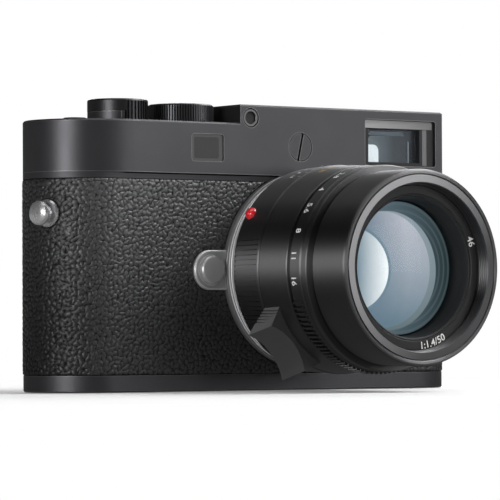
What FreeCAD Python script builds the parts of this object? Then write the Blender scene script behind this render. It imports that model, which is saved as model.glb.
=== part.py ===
import FreeCAD, Part
import math
import os
import Sketcher
from FreeCAD import Placement, Rotation, Vector

# Digital rangefinder camera with a fast normal lens, millimetres.
# Frame: origin at the centre of the base, +X to the right of a viewer who
# faces the lens, +Y to the back of the camera, +Z up. The lens points along -Y.
# "Left" and "right" below are -X and +X.

doc = FreeCAD.newDocument("RangefinderCamera")
sheet = doc.addObject("Spreadsheet::Sheet", "Sizes")

# Driving dimensions: (alias, value).
DIMENSIONS = [
    # body outline and levels
    ("end_x", 52.625), ("end_rad", 16.875), ("skin", 0.6), ("wall", 1.8),
    ("base_top", 4.6), ("trim_top", 58.6), ("band_top", 60.3),
    ("shoulder_top", 74.73), ("roof_top", 80.0), ("roof_wall", 1.3),
    ("step_x", -12.12), ("bump_y", -18.1), ("bump_right", 60.34),
    ("blend_rad", 26.0), ("blend_x", -48.05), ("blend_y", 7.93), ("blend_left", -61.06),
    # windows of the top cover
    ("patch_left", -28.7), ("patch_right", -17.9), ("patch_low", 63.8), ("patch_high", 71.3),
    ("finder_left", 32.0), ("finder_right", 57.8), ("finder_low", 64.0), ("finder_high", 77.2),
    ("sensor_x", -8.5), ("sensor_z", 76.3),
    ("cover_x", 8.8), ("cover_z", 68.55), ("cover_rad", 4.0),
    # controls on top
    ("power_x", -44.0), ("power_y", -4.0), ("power_rad", 8.45),
    ("power_top", 80.85), ("power_line", 77.5),
    ("speed_x", -22.85), ("speed_y", -4.0), ("speed_rad", 9.35),
    ("speed_low", 74.95), ("speed_top", 80.2),
    ("func_x", -57.5), ("func_y", -3.0), ("func_rad", 3.3),
    ("iso_x", 49.5), ("iso_y", 3.0), ("iso_rad", 8.2),
    ("wheel_x", -36.0), ("wheel_y", 10.4), ("wheel_rad", 8.8),
    # lens mount and lens
    ("lens_x", 10.37), ("lens_z", 33.67), ("flange_y", -18.4), ("flange_rad", 27.7),
    ("throat_rad", 22.0), ("chrome_rad", 27.05), ("barrel_rad", 29.2), ("focus_rad", 29.0),
    ("front_rad", 28.4), ("hood_rad", 26.75), ("tube_rad", 25.2), ("thread_rad", 23.0),
    ("glass_rad", 18.4), ("lens_len", 52.4), ("run_gap", 0.06),
    # lens release
    ("rel_x", -22.1), ("rel_z", 33.6), ("rel_rad", 5.57), ("rel_face", -17.75),
    # rear
    ("screen_left", -13.0), ("screen_right", 54.0), ("screen_low", 9.5), ("screen_high", 53.5),
    ("pad_x", -34.0), ("pad_z", 24.0), ("pad_rad", 9.4), ("key_z", 43.5), ("key_rad", 3.3),
    ("eye_x", 45.0), ("eye_z", 70.0), ("eye_rad", 7.4),
    # base
    ("bush_rad", 3.175), ("bush_x", 10.37), ("bush_y", 0.5),
    ("cell_left", -61.0), ("cell_right", -23.0), ("cell_front", -9.6), ("cell_back", 8.0),
    ("cell_top", 53.0),
    # strap lugs
    ("lug_z", 48.95), ("lug_turn", 20.0),
]


# ------------------------------------------------------------ sizes with expressions
class Size:
    """A number together with the expression that the document recomputes."""

    def __init__(self, value, text):
        self.value = float(value)
        self.text = text

    def __add__(self, other):
        return Size(self.value + num(other), "(%s + %s)" % (self.text, txt(other)))

    def __sub__(self, other):
        return Size(self.value - num(other), "(%s - %s)" % (self.text, txt(other)))

    def __rsub__(self, other):
        return Size(num(other) - self.value, "(%s - %s)" % (txt(other), self.text))

    def __mul__(self, other):
        return Size(self.value * num(other), "(%s * %s)" % (self.text, txt(other)))

    def __neg__(self):
        return Size(-self.value, "(-1 * %s)" % self.text)


class Dimensions:
    """Holds each driving dimension as an attribute named by its alias."""


def num(quantity):
    return quantity.value if isinstance(quantity, Size) else float(quantity)


def txt(quantity):
    return quantity.text if isinstance(quantity, Size) else "(%.6f)" % float(quantity)


dim = Dimensions()
for row, (alias, value) in enumerate(DIMENSIONS, start=1):
    sheet.set("A%d" % row, alias)
    sheet.set("B%d" % row, str(value))
    sheet.setAlias("B%d" % row, alias)
    setattr(dim, alias, Size(value, "Sizes.%s" % alias))
doc.recompute()

# ---------------------------------------------------------------- places and turns
Y_DIR = Vector(0, 1, 0)
Z_DIR = Vector(0, 0, 1)
# Turns that point a rod's own Z up, to the back or to the front.
UP = Rotation()
BACK = Rotation(Vector(1, 0, 0), -90)
FORWARD = Rotation(Vector(1, 0, 0), 90)
# Sketch planes that give a turned piece an axis along Y or along Z.
ALONG_Y = "XY_Plane"
ALONG_Z = "XZ_Plane"

CASTING_RAD = dim.end_rad - dim.skin     # the casting's flat faces lie this far from Y = 0
SEAT_Y = -CASTING_RAD - 0.01             # back of the pieces seated on the casting's front
LENS_AXIS = (dim.lens_x, 0, dim.lens_z)
RELEASE_AXIS = (dim.rel_x, 0, dim.rel_z)
PIN_X = dim.lens_x - 24.6                # locking pin, at the height of the release
LEVER_X = dim.lens_x + 33.0
LEVER_Z = dim.lens_z + 11
FRONT_CLEAR = -19                        # start of cuts made from in front of the casting
KEY_PITCH = 11
KEY_SPOTS = [(dim.pad_x + dx, dim.key_z) for dx in (-KEY_PITCH, 0, KEY_PITCH)]   # (x, z)
LATCH_X = -10.0
USB_LEFT, USB_RIGHT, USB_HALF = 38.0, 47.0, 1.6
PILOT_RAD = 0.82                         # holes for the base and mount screws
SHOE_PILOT_RAD = 0.72
BASE_SCREW_SPOTS = [                     # (x, y)
    (-63.4, -1.0), (60.5, 6.0), (-14.0, 12.0), (57.0, -10.0), (-16.5, -11.5), (33.0, 12.0)]
MOUNT_SCREW_SPOTS = [                    # (x, z)
    (dim.lens_x + 25.6 * math.cos(math.radians(angle)),
     dim.lens_z + 25.6 * math.sin(math.radians(angle))) for angle in (45, 135, 225, 315)]
SHOE_SCREW_SPOTS = [                     # (x, y)
    (dim.lens_x + dx, y) for y in (-5.0, 8.0) for dx in (-6.0, 6.0)]


# ------------------------------------------------------------------ solid helpers
def bind(obj, prop, quantity):
    """Set a property, and its expression if it depends on the sheet."""
    setattr(obj, prop, num(quantity))
    if isinstance(quantity, Size):
        obj.setExpression(prop, quantity.text)


def place(obj, at, turn=UP):
    obj.Placement = Placement(Vector(*[num(c) for c in at]), turn)
    for axis, c in zip("xyz", at):
        if isinstance(c, Size):
            obj.setExpression("Placement.Base.%s" % axis, c.text)
    return obj


def box(name, x0, x1, y0, y1, z0, z1):
    block = doc.addObject("Part::Box", name)
    for prop, low, high in (("Length", x0, x1), ("Width", y0, y1), ("Height", z0, z1)):
        bind(block, prop, high - low)
    return place(block, (x0, y0, z0))


def rod(name, rad, at, length, turn=UP, sweep=None):
    cylinder = doc.addObject("Part::Cylinder", name)
    bind(cylinder, "Radius", rad)
    bind(cylinder, "Height", length)
    if sweep:
        cylinder.Angle = sweep
    return place(cylinder, at, turn)


def ball(name, rad, at):
    sphere = doc.addObject("Part::Sphere", name)
    sphere.Radius = rad
    return place(sphere, at)


def lens_rod(name, rad, y_front, y_back):
    """A cylinder about the lens axis between two Y planes."""
    return rod(name, rad, (dim.lens_x, y_front, dim.lens_z), y_back - y_front, BACK)


def at_spot(spot, start, turn):
    """The point of an (x, y) spot if upright, of an (x, z) spot otherwise."""
    return (spot[0], spot[1], start) if turn is UP else (spot[0], start, spot[1])


def rods(name, rad, spots, start, length, turn=UP):
    return [rod("%s_%d" % (name, i), rad, at_spot(spot, start, turn), length, turn)
            for i, spot in enumerate(spots)]


def screws(name, spots, head, shank, turn=UP):
    """Screws whose head and shank are given as (radius, start, length)."""
    made = []
    for i, spot in enumerate(spots):
        for part, (rad, start, length) in (("head", head), ("shank", shank)):
            made.append(rod("%s_%s_%d" % (name, part, i), rad,
                            at_spot(spot, start, turn), length, turn))
    return made


def fuse(name, parts):
    joined = doc.addObject("Part::MultiFuse", name)
    joined.Shapes = parts
    joined.Refine = True
    return joined


def cut(name, base, tools):
    result = doc.addObject("Part::Cut", name)
    result.Base = base
    result.Tool = tools[0] if len(tools) == 1 else fuse(name + "_tools", tools)
    result.Refine = True
    return result


def common(name, first, second):
    shared = doc.addObject("Part::MultiCommon", name)
    shared.Shapes = [first, second]
    shared.Refine = True
    return shared


def soften(name, base, size, test, kind="Part::Fillet"):
    """Fillet or chamfer the edges that pass the test."""
    doc.recompute()
    softened = doc.addObject(kind, name)
    softened.Base = base
    softened.Edges = [(i, size, size) for i, edge in enumerate(base.Shape.Edges, start=1)
                      if test(edge)]
    return softened


def parallel_to(axis):
    """A test for edges that run straight along one axis."""
    def test(edge):
        run = Vector()
        if len(edge.Vertexes) == 2:
            run = edge.lastVertex().Point.sub(edge.firstVertex().Point)
        return run.Length > 1e-6 and abs(abs(run.normalize().dot(axis)) - 1) < 1e-6
    return test


def rounded(name, x0, x1, y0, y1, z0, z1, rad, axis):
    """A block with its four edges along the axis rounded."""
    return soften(name, box(name + "_block", x0, x1, y0, y1, z0, z1), rad, parallel_to(axis))


def turned_box(name, length, width, height, at, turn, corner):
    """A fixed-size bar, turned, with its corner offset in its own frame."""
    bar = doc.addObject("Part::Box", name)
    bar.Length, bar.Width, bar.Height = length, width, height
    bar.Placement = Placement(Vector(*[num(c) for c in at]) + turn.multVec(corner), turn)
    return bar


def spun_box(name, length, width, height, at, angle, start=0.0):
    """A bar that points away from a vertical axis, from a start radius, at an angle."""
    return turned_box(name, length, width, height, at, Rotation(Z_DIR, angle),
                      Vector(start, -width / 2.0, 0))


def tilted_box(name, length, width, height, at, angle):
    """A bar centred on a Y-parallel axis and turned about it."""
    return turned_box(name, length, width, height, at, Rotation(Y_DIR, angle),
                      Vector(-length / 2.0, 0, -height / 2.0))


# ----------------------------------------------------------------- sketch helpers
def origin_feature(body, role):
    for feature in body.Origin.OriginFeatures:
        if feature.Role == role:
            return feature


def draw(sketch, loops):
    """Closed loops of straight lines, every vertex dimensioned from the origin."""
    x_axis, y_axis = -1, -2              # a sketch's own geometry; -1 also holds its origin
    start = 0
    for points in loops:
        count = len(points)
        corners = [Vector(num(x), num(y), 0) for x, y in points]
        sketch.addGeometry([Part.LineSegment(corners[i], corners[(i + 1) % count])
                            for i in range(count)], False)
        constraints = []
        expressions = []
        for i in range(count):
            constraints.append(Sketcher.Constraint(
                "Coincident", start + i, 2, start + (i + 1) % count, 1))
            expressions.append(None)
        for i, (x, y) in enumerate(points):
            for q, kind, zero_line in ((x, "DistanceX", y_axis), (y, "DistanceY", x_axis)):
                if abs(num(q)) < 1e-9:
                    constraints.append(Sketcher.Constraint(
                        "PointOnObject", start + i, 1, zero_line))
                    expressions.append(None)
                else:
                    constraints.append(Sketcher.Constraint(kind, -1, 1, start + i, 1, num(q)))
                    expressions.append(q.text if isinstance(q, Size) else None)
        first = sketch.ConstraintCount
        sketch.addConstraint(constraints)
        for k, expression in enumerate(expressions):
            if expression:
                sketch.setExpression("Constraints[%d]" % (first + k), expression)
        start += count


def sketch_on(body, plane, name, loops, offset=0.0):
    sketch = body.newObject("Sketcher::SketchObject", name)
    sketch.AttachmentSupport = [(origin_feature(body, plane), "")]
    sketch.MapMode = "FlatFace"
    sketch.AttachmentOffset = Placement(Vector(0, 0, num(offset)), Rotation())
    if isinstance(offset, Size):
        sketch.setExpression("AttachmentOffset.Base.z", offset.text)
    draw(sketch, loops)
    return sketch


def turned(name, points, at, plane=ALONG_Y, turn=UP):
    """A piece turned from a (radius, axial) profile about the sketch's vertical axis."""
    body = doc.addObject("PartDesign::Body", name)
    sketch = sketch_on(body, plane, name + "_profile", [points])
    revolution = body.newObject("PartDesign::Revolution", name + "_turning")
    revolution.Profile = sketch
    revolution.ReferenceAxis = (sketch, ["V_Axis"])
    revolution.Angle = 360.0
    place(body, at, turn)
    doc.recompute()
    return body


def lens_turned(name, points):
    """A piece turned about the lens axis from (radius, distance in front of the mount)."""
    return turned(name, [(rad, dim.flange_y - ahead) for rad, ahead in points], LENS_AXIS)


def repeat_round(body, name, loops, offset, depth, count, angle, axis="Z_Axis", additive=False):
    """Pocket or pad loops drawn across the body's axis and repeat them round it."""
    before = body.Shape.Volume
    plane = "XY_Plane" if axis == "Z_Axis" else "XZ_Plane"
    feature_type = "PartDesign::Pad" if additive else "PartDesign::Pocket"
    sketch = sketch_on(body, plane, name + "_sketch", loops, offset)
    feature = body.newObject(feature_type, name)
    feature.Profile = sketch
    feature.Length = depth
    body.Tip = feature
    doc.recompute()
    change = body.Shape.Volume - before
    if (change > 0) != additive or abs(change) < 1e-4:
        raise RuntimeError("%s changed the volume by %.4f" % (name, change))
    pattern = body.newObject("PartDesign::PolarPattern", feature.Name + "_pattern")
    pattern.Originals = [feature]
    pattern.Axis = (origin_feature(body, axis), [""])
    pattern.Angle = angle
    pattern.Occurrences = count
    pattern.Reversed = axis == "Y_Axis"
    body.Tip = pattern
    doc.recompute()


def flute(rad, depth, half_width):
    """A V notch in a rim, drawn at angle zero and open past the rim."""
    return [(rad - depth, 0.0), (rad + 0.3, half_width), (rad + 0.3, -half_width)]


def polar_loop(points, middle, sign=1):
    """(radius, angle from the middle) to x and y; sign -1 gives the opposite side."""
    loop = []
    for rad, offset in points:
        angle = math.radians(middle + offset)
        loop.append((sign * rad * math.cos(angle), sign * rad * math.sin(angle)))
    return loop


# ------------------------------------------------------------ shapes shared by pieces
def stadium(name, rad, z0, z1):
    """Straight-sided outline with round ends."""
    return fuse(name, [
        box(name + "_mid", -dim.end_x, dim.end_x, -rad, rad, z0, z1),
        rod(name + "_left", rad, (-dim.end_x, 0, z0), z1 - z0),
        rod(name + "_right", rad, (dim.end_x, 0, z0), z1 - z0)])


def cover_outline(name, z0, z1, inset):
    """The top cover's outline: the body's outline with a flat-faced front step
    that blends into the left end with one large radius."""
    front_y = dim.blend_y - dim.blend_rad + inset
    blend = common(
        name + "_blend",
        box(name + "_blend_box", dim.blend_left, dim.blend_x, front_y, 0, z0, z1),
        rod(name + "_blend_rod", dim.blend_rad - inset, (dim.blend_x, dim.blend_y, z0), z1 - z0))
    front = box(name + "_front", dim.blend_x, dim.bump_right - inset, front_y, 0, z0, z1)
    return fuse(name, [stadium(name + "_oval", dim.end_rad - inset, z0, z1), blend, front])


def screen_block(name, gap, rad, y0=13, y1=18):
    """The rear screen's outline, grown by a gap."""
    return rounded(name, dim.screen_left - gap, dim.screen_right + gap, y0, y1,
                   dim.screen_low - gap, dim.screen_high + gap, rad, Y_DIR)


def cell_opening(name, z0, z1):
    return rounded(name, dim.cell_left - 0.1, dim.cell_right + 0.1,
                   dim.cell_front - 0.1, dim.cell_back + 0.1, z0, z1, 3.1, Z_DIR)


def lug_axis(side):
    """Outward direction of a strap lug: side -1 is the left end, 1 the right end."""
    turn = math.radians(dim.lug_turn.value)
    return Vector(side * math.cos(turn), -math.sin(turn), 0)


def lug_point(side, out):
    """A point on a strap lug's axis, a distance out from the rounded end."""
    axis = lug_axis(side)
    reach = dim.end_rad + out
    return (dim.end_x * side + reach * axis.x, reach * axis.y, dim.lug_z)


def lug_holes(name, rad):
    return [rod("%s_%d" % (name, side + 1), rad, lug_point(side, -4), 6,
                Rotation(Z_DIR, lug_axis(side))) for side in (-1, 1)]


BUILDERS = []


def piece(build):
    """Register a function that builds the piece it is named after."""
    BUILDERS.append(build)
    return build


# ------------------------------------------------------------------ body and covers
@piece
def body_casting():
    solid = fuse("casting_solid", [
        stadium("casting_oval", CASTING_RAD, dim.base_top, dim.band_top),
        stadium("casting_band", dim.end_rad, dim.trim_top, dim.band_top)])
    under, over = dim.trim_top - 1, dim.band_top + 1
    floor = dim.base_top - 1
    cuts = [
        stadium("casting_hollow", CASTING_RAD - dim.wall, dim.base_top + 1.6, dim.trim_top - 0.1),
        box("deck_opening", -30, 56, -11, 11, under, over),
        box("deck_opening_left", -56, -33, -11, 12.5, under, over),
        lens_rod("casting_mount_bore", dim.throat_rad + 2.05, FRONT_CLEAR, -12),
        lens_rod("casting_mount_seat", dim.flange_rad + 0.05, FRONT_CLEAR, -CASTING_RAD),
        screen_block("casting_screen_opening", 0.05, 1.55),
        rod("casting_pad_hole", dim.pad_rad + 0.25, (dim.pad_x, 13, dim.pad_z), 5, BACK),
        rod("casting_release_hole", 4.15, (dim.rel_x, -18, dim.rel_z), 5, BACK),
        rod("casting_pin_hole", 1.2, (PIN_X, -18, dim.rel_z), 5, BACK),
        rod("casting_lever_hole", 1.55, (LEVER_X, -18, LEVER_Z), 5, BACK),
        cell_opening("casting_cell_opening", 0, dim.base_top + 3),
        rod("casting_bush_hole", 6.05, (dim.bush_x, dim.bush_y, floor), 4),
        box("casting_usb_hole", USB_LEFT - 0.1, USB_RIGHT + 0.1,
            -USB_HALF - 0.1, USB_HALF + 0.1, floor, dim.base_top + 3)]
    cuts += rods("casting_key_hole", dim.key_rad + 0.08, KEY_SPOTS, 13, 5, BACK)
    cuts += rods("casting_base_screw_hole", PILOT_RAD, BASE_SCREW_SPOTS, floor, 4)
    cuts += lug_holes("casting_lug_hole", 1.62)
    cuts += rods("casting_mount_screw_hole", PILOT_RAD, MOUNT_SCREW_SPOTS, -17, 3.2, BACK)
    return cut("body_casting_cut", solid, cuts)


@piece
def leather_covering():
    outer = stadium("trim_outer", dim.end_rad, dim.base_top + 0.02, dim.trim_top - 0.02)
    inner = stadium("trim_inner", CASTING_RAD + 0.01, dim.base_top - 1, dim.trim_top + 1)
    release_half = dim.rel_rad + 0.06
    cuts = [
        inner,
        lens_rod("trim_mount_hole", dim.flange_rad + 0.08, FRONT_CLEAR, -12),
        fuse("trim_release_opening", [
            rod("trim_release_round", release_half, (dim.rel_x, FRONT_CLEAR, dim.rel_z), 6, BACK),
            box("trim_release_side", dim.rel_x, dim.lens_x - 20, FRONT_CLEAR, -13,
                dim.rel_z - release_half, dim.rel_z + release_half)]),
        rod("trim_lever_hole", 3.6, (LEVER_X, FRONT_CLEAR, LEVER_Z), 6, BACK),
        screen_block("trim_screen_opening", 0.8, 2.2),
        rod("trim_pad_hole", dim.pad_rad + 0.7, (dim.pad_x, 13, dim.pad_z), 6, BACK)]
    cuts += rods("trim_key_hole", dim.key_rad + 0.5, KEY_SPOTS, 13, 6, BACK)
    cuts += lug_holes("trim_lug_hole", 3.85)
    return cut("leather_covering_cut", outer, cuts)


def is_cover_rim(edge):
    """Edges round the roof and the shoulder, but not the foot of the step between them."""
    bounds = edge.BoundBox
    flat = bounds.ZLength < 1e-6
    top = abs(bounds.ZMin - dim.roof_top.value) < 1e-6
    step_foot = bounds.XLength < 1e-6 and abs(bounds.XMin - dim.step_x.value) < 1e-4
    shoulder = abs(bounds.ZMin - dim.shoulder_top.value) < 1e-6 and not step_foot
    return flat and (top or shoulder)


def cover_body():
    """The top cover before its openings: shell, tubs under the roof, power switch hub."""
    low_z, inner_z = dim.band_top + 0.02, dim.band_top - 1
    wall = dim.roof_wall
    low = cover_outline("cover_low", low_z, dim.shoulder_top, 0)
    high = common("cover_high",
                  cover_outline("cover_high_outline", low_z, dim.roof_top, 0),
                  box("cover_high_side", dim.step_x, 80, -30, 30,
                      dim.band_top, dim.roof_top + 1))
    bevelled = soften("cover_bevelled", fuse("cover_raw", [low, high]), 0.42,
                      is_cover_rim, "Part::Chamfer")
    inner_low = cover_outline("cover_inner_low", inner_z, dim.shoulder_top - wall, wall)
    inner_high = common("cover_inner_high",
                        cover_outline("cover_inner_high_outline", inner_z,
                                      dim.roof_top - wall, wall),
                        box("cover_inner_high_side", dim.step_x + wall, 80, -30, 30,
                            dim.band_top - 2, dim.roof_top + 1))
    shell = cut("cover_shell", bevelled, [fuse("cover_hollow", [inner_low, inner_high])])
    shoe_tub = box("cover_shoe_tub", dim.lens_x - 12.4, dim.lens_x + 12.4, -10.2, 16.4,
                   75.6, dim.roof_top - 0.5)
    iso_tub = common("cover_iso_tub_in",
                     rod("cover_iso_tub", dim.iso_rad + 2.0, (dim.iso_x, dim.iso_y, 73.6), 5.4),
                     cover_outline("cover_iso_keep", 70, dim.roof_top - 0.5, 0.4))
    hub_low = dim.shoulder_top - 1
    hub_at = (dim.power_x, dim.power_y, hub_low)
    hub_height = dim.power_line - 0.1 - hub_low
    hub = rod("cover_power_hub", 7.72, hub_at, hub_height)
    arc = rod("cover_power_arc", dim.power_rad - 0.03, hub_at, hub_height,
              Rotation(Z_DIR, 20.0), 229.0)
    return fuse("cover_solid", [shell, shoe_tub, iso_tub, hub, arc])


@piece
def top_cover():
    solid = cover_body()
    cuts = [
        rounded("cover_patch_window", dim.patch_left, dim.patch_right, -20, -15,
                dim.patch_low, dim.patch_high, 0.8, Y_DIR),
        rounded("cover_finder_window", dim.finder_left, dim.finder_right, -20, -15,
                dim.finder_low, dim.finder_high, 0.8, Y_DIR),
        rod("cover_sensor_hole", 2.72, (dim.sensor_x, -20, dim.sensor_z), 5, BACK),
        rod("cover_disc_seat", dim.cover_rad + 0.09, (dim.cover_x, -20, dim.cover_z), 2.9, BACK),
        rod("cover_disc_screw_hole", 1.25, (dim.cover_x, -20, dim.cover_z), 5, BACK),
        rod("cover_shutter_hole", 3.05, (dim.power_x, dim.power_y, 70), 10),
        rod("cover_speed_hole", 2.56, (dim.speed_x, dim.speed_y, 70), 10),
        rod("cover_func_hole", dim.func_rad + 0.08, (dim.func_x, dim.func_y, 70), 10),
        rod("cover_iso_pocket", dim.iso_rad + 0.45, (dim.iso_x, dim.iso_y, 75.2), 10),
        rod("cover_iso_hole", 2.56, (dim.iso_x, dim.iso_y, 70), 10),
        rod("cover_eye_hole", 5.6, (dim.eye_x, 14, dim.eye_z), 5, BACK),
        box("cover_wheel_slot", dim.wheel_x - 7.6, dim.wheel_x + 7.6, 15, 18, 65.4, 70.9),
        box("cover_shoe_recess", dim.lens_x - 10.9, dim.lens_x + 10.9, -8.6, 20, 77.1, 82),
        lens_rod("cover_mount_notch", dim.flange_rad + 0.06, FRONT_CLEAR, -15.5)]
    cuts += rods("cover_shoe_screw_hole", SHOE_PILOT_RAD, SHOE_SCREW_SPOTS, 74, 5)
    return cut("top_cover_cut", solid, cuts)


@piece
def base_cover():
    raw = soften("base_raw", stadium("base_outer", dim.end_rad, 0, dim.base_top - 0.02), 0.35,
                 lambda e: e.BoundBox.ZLength < 1e-6 and e.BoundBox.ZMax < 1e-6,
                 "Part::Chamfer")
    hollow = stadium("base_hollow", dim.end_rad - 1.5, 1.5, dim.base_top + 1)
    boss_height = dim.base_top - 1.02
    bosses = fuse("base_bosses",
                  rods("base_boss", 2.2, BASE_SCREW_SPOTS, 1, boss_height)
                  + [rod("base_bush_boss", 7.6, (dim.bush_x, dim.bush_y, 1), boss_height)])
    latch_at = (LATCH_X, 0.0, -1)
    recess_depth = 2.15
    cuts = [
        cell_opening("base_cell_opening", -1, 8),
        rod("base_bush_hole", 6.05, (dim.bush_x, dim.bush_y, -1), 8),
        rounded("base_usb_hole", USB_LEFT - 0.1, USB_RIGHT + 0.1,
                -USB_HALF - 0.1, USB_HALF + 0.1, -1, 8, 1.6, Z_DIR),
        # room for the latch to swing from its rest to its open position
        fuse("base_latch_recess", [
            rod("base_latch_recess_eye", 3.3, latch_at, recess_depth),
            rod("base_latch_recess_sweep", 12.4, latch_at, recess_depth,
                Rotation(Z_DIR, 132.0), 56.0),
            box("base_latch_recess_rest", LATCH_X - 11.6, LATCH_X, -1.8, 1.8,
                -1, recess_depth - 1),
            spun_box("base_latch_recess_open", 11.6, 3.6, recess_depth, latch_at, 140.0)]),
        rod("base_latch_hole", 1.05, latch_at, 6)]
    cuts += rods("base_screw_hole", PILOT_RAD, BASE_SCREW_SPOTS, -1, 8)
    cuts += rods("base_screw_seat", 1.75, BASE_SCREW_SPOTS, -1, 2.0)
    shell = cut("base_shell", raw, [hollow])
    return cut("base_cover_cut", fuse("base_solid", [shell, bosses]), cuts)


# ------------------------------------------------------------- mount and lens release
@piece
def mount_ring():
    blank = turned("mount_ring_blank", [
        (dim.throat_rad, -14.6), (dim.throat_rad + 2.0, -14.6), (dim.throat_rad + 2.0, SEAT_Y),
        (dim.flange_rad, SEAT_Y), (dim.flange_rad, dim.flange_y + 0.15),
        (dim.flange_rad - 0.15, dim.flange_y), (dim.throat_rad, dim.flange_y)], LENS_AXIS)
    cuts = rods("mount_ring_screw_hole", PILOT_RAD, MOUNT_SCREW_SPOTS, -20, 6, BACK)
    cuts += rods("mount_ring_screw_seat", 1.45, MOUNT_SCREW_SPOTS, -20, 2.6, BACK)
    cuts.append(rod("mount_ring_pin_hole", 1.08, (PIN_X, -20, dim.rel_z), 6, BACK))
    return cut("mount_ring_cut", blank, cuts)


def is_escutcheon_rim(edge):
    """Edges of the front face, except the straight end towards the lens."""
    bounds = edge.BoundBox
    lens_end = bounds.XLength < 1e-6 and bounds.XMin > -15
    on_face = abs(bounds.YMax - dim.rel_face.value) < 1e-6 and bounds.YLength < 1e-6
    return on_face and not lens_end


@piece
def release_escutcheon():
    """A plate with a round left end that reaches to the mount ring."""
    raw = fuse("escutcheon_raw", [
        rod("escutcheon_round", dim.rel_rad, (dim.rel_x, dim.rel_face, dim.rel_z),
            SEAT_Y - dim.rel_face, BACK),
        box("escutcheon_side", dim.rel_x, dim.lens_x - 24.0, dim.rel_face, SEAT_Y,
            dim.rel_z - dim.rel_rad, dim.rel_z + dim.rel_rad)])
    bevelled = soften("escutcheon_bevel", raw, 0.35, is_escutcheon_rim, "Part::Chamfer")
    return cut("release_escutcheon_cut", bevelled, [
        rod("escutcheon_hole", 4.12, (dim.rel_x, FRONT_CLEAR, dim.rel_z), 5, BACK),
        lens_rod("escutcheon_mount_side", dim.flange_rad + 0.04, FRONT_CLEAR, -12)])


@piece
def release_button():
    return turned("release_button", [
        (0.0, -19.35), (3.25, -19.35), (3.65, -19.22), (3.92, -18.9), (4.06, -18.3),
        (4.06, -16.0), (2.5, -16.0), (2.5, -14.42), (0.0, -14.42)], RELEASE_AXIS)


@piece
def locking_pin():
    return fuse("locking_pin_all", [
        rod("locking_pin_tip", 1.0, (PIN_X, -19.35, dim.rel_z), 5.9, BACK),
        box("locking_pin_bar", dim.rel_x - 2.2, dim.lens_x - 23.4, -14.4, -13.45,
            dim.rel_z - 1.9, dim.rel_z + 1.9)])


@piece
def release_spring():
    """Six disc springs: one zigzag strip turned about the button's axis."""
    leg, strip = 0.5, 0.2
    zigzag = [(1.25 if i % 2 == 0 else 2.1, -13.32 + leg * i) for i in range(7)]
    back_side = [(rad, y + strip) for rad, y in reversed(zigzag)]
    return turned("release_spring", zigzag + back_side, RELEASE_AXIS)


@piece
def frame_lever():
    """Frame selector lever, hanging beside the lens."""
    tip_z = LEVER_Z - 15.5
    return fuse("selector_lever_raw", [
        rod("selector_lever_boss", 3.4, (LEVER_X, -18.3, LEVER_Z), 2.0, BACK),
        rod("selector_lever_axle", 1.5, (LEVER_X, -16.4, LEVER_Z), 4.4, BACK),
        box("selector_lever_arm", LEVER_X - 1.7, LEVER_X + 1.7, -18.3, -17.1, tip_z, LEVER_Z),
        rod("selector_lever_tip", 2.4, (LEVER_X, -19.3, tip_z), 2.2, BACK)])


# ---------------------------------------------------------------------- front windows
@piece
def finder_frame():
    block = rounded("finder_frame_block", dim.finder_left + 0.05, dim.finder_right - 0.05,
                    -17.4, -14.4, dim.finder_low + 0.05, dim.finder_high - 0.05, 0.75, Y_DIR)
    return cut("finder_frame_cut", block, [
        box("finder_frame_hole", dim.finder_left + 1.6, dim.finder_right - 5.4, -18, -14,
            dim.finder_low + 1.0, dim.finder_high - 2.6)])


@piece
def finder_glass():
    return box("finder_glass_pane", dim.finder_left + 1.7, dim.finder_right - 5.5,
               -16.6, -15.6, dim.finder_low + 1.1, dim.finder_high - 2.7)


@piece
def patch_glass():
    return rounded("patch_glass_pane", dim.patch_left + 0.04, dim.patch_right - 0.04,
                   -16.9, -15.9, dim.patch_low + 0.04, dim.patch_high - 0.04, 0.76, Y_DIR)


@piece
def rangefinder_optics():
    low, high = dim.patch_low + 0.4, dim.patch_high - 1.5
    return fuse("rangefinder_optics_all", [
        box("optics_patch_prism", dim.patch_left + 0.6, dim.patch_right - 0.6,
            -15.6, -6.0, low, high),
        box("optics_bar", dim.patch_right - 1.2, 30.5, -9.0, -6.0, low, high),
        box("optics_finder_block", 30.0, 56.0, -14.2, 12.0, 61.2, 73.2)])


@piece
def cover_disc():
    """Slotted disc on the front of the top cover, above the lens."""
    face, back = dim.bump_y + 0.06, dim.bump_y + 0.98
    raw = fuse("cover_disc_raw", [
        turned("cover_disc_head", [
            (0.0, face), (dim.cover_rad - 0.2, face), (dim.cover_rad, dim.bump_y + 0.26),
            (dim.cover_rad, back), (0.0, back)], (dim.cover_x, 0, dim.cover_z)),
        rod("cover_disc_stem", 1.2, (dim.cover_x, dim.bump_y + 0.5, dim.cover_z), 2.6, BACK)])
    return cut("cover_disc_cut", raw, [
        tilted_box("cover_disc_slot", 0.7, 0.75, 8.4,
                   (dim.cover_x, dim.bump_y - 0.05, dim.cover_z), 12.8)])


@piece
def sensor_ring():
    return turned("sensor_ring", [
        (1.72, -16.0), (2.64, -16.0), (2.64, -17.7), (2.4, -17.95), (1.85, -17.95),
        (1.72, -17.8)], (dim.sensor_x, 0, dim.sensor_z))


@piece
def sensor_window():
    return rod("sensor_window_pane", 1.68, (dim.sensor_x, -17.5, dim.sensor_z), 1.4, BACK)


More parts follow.
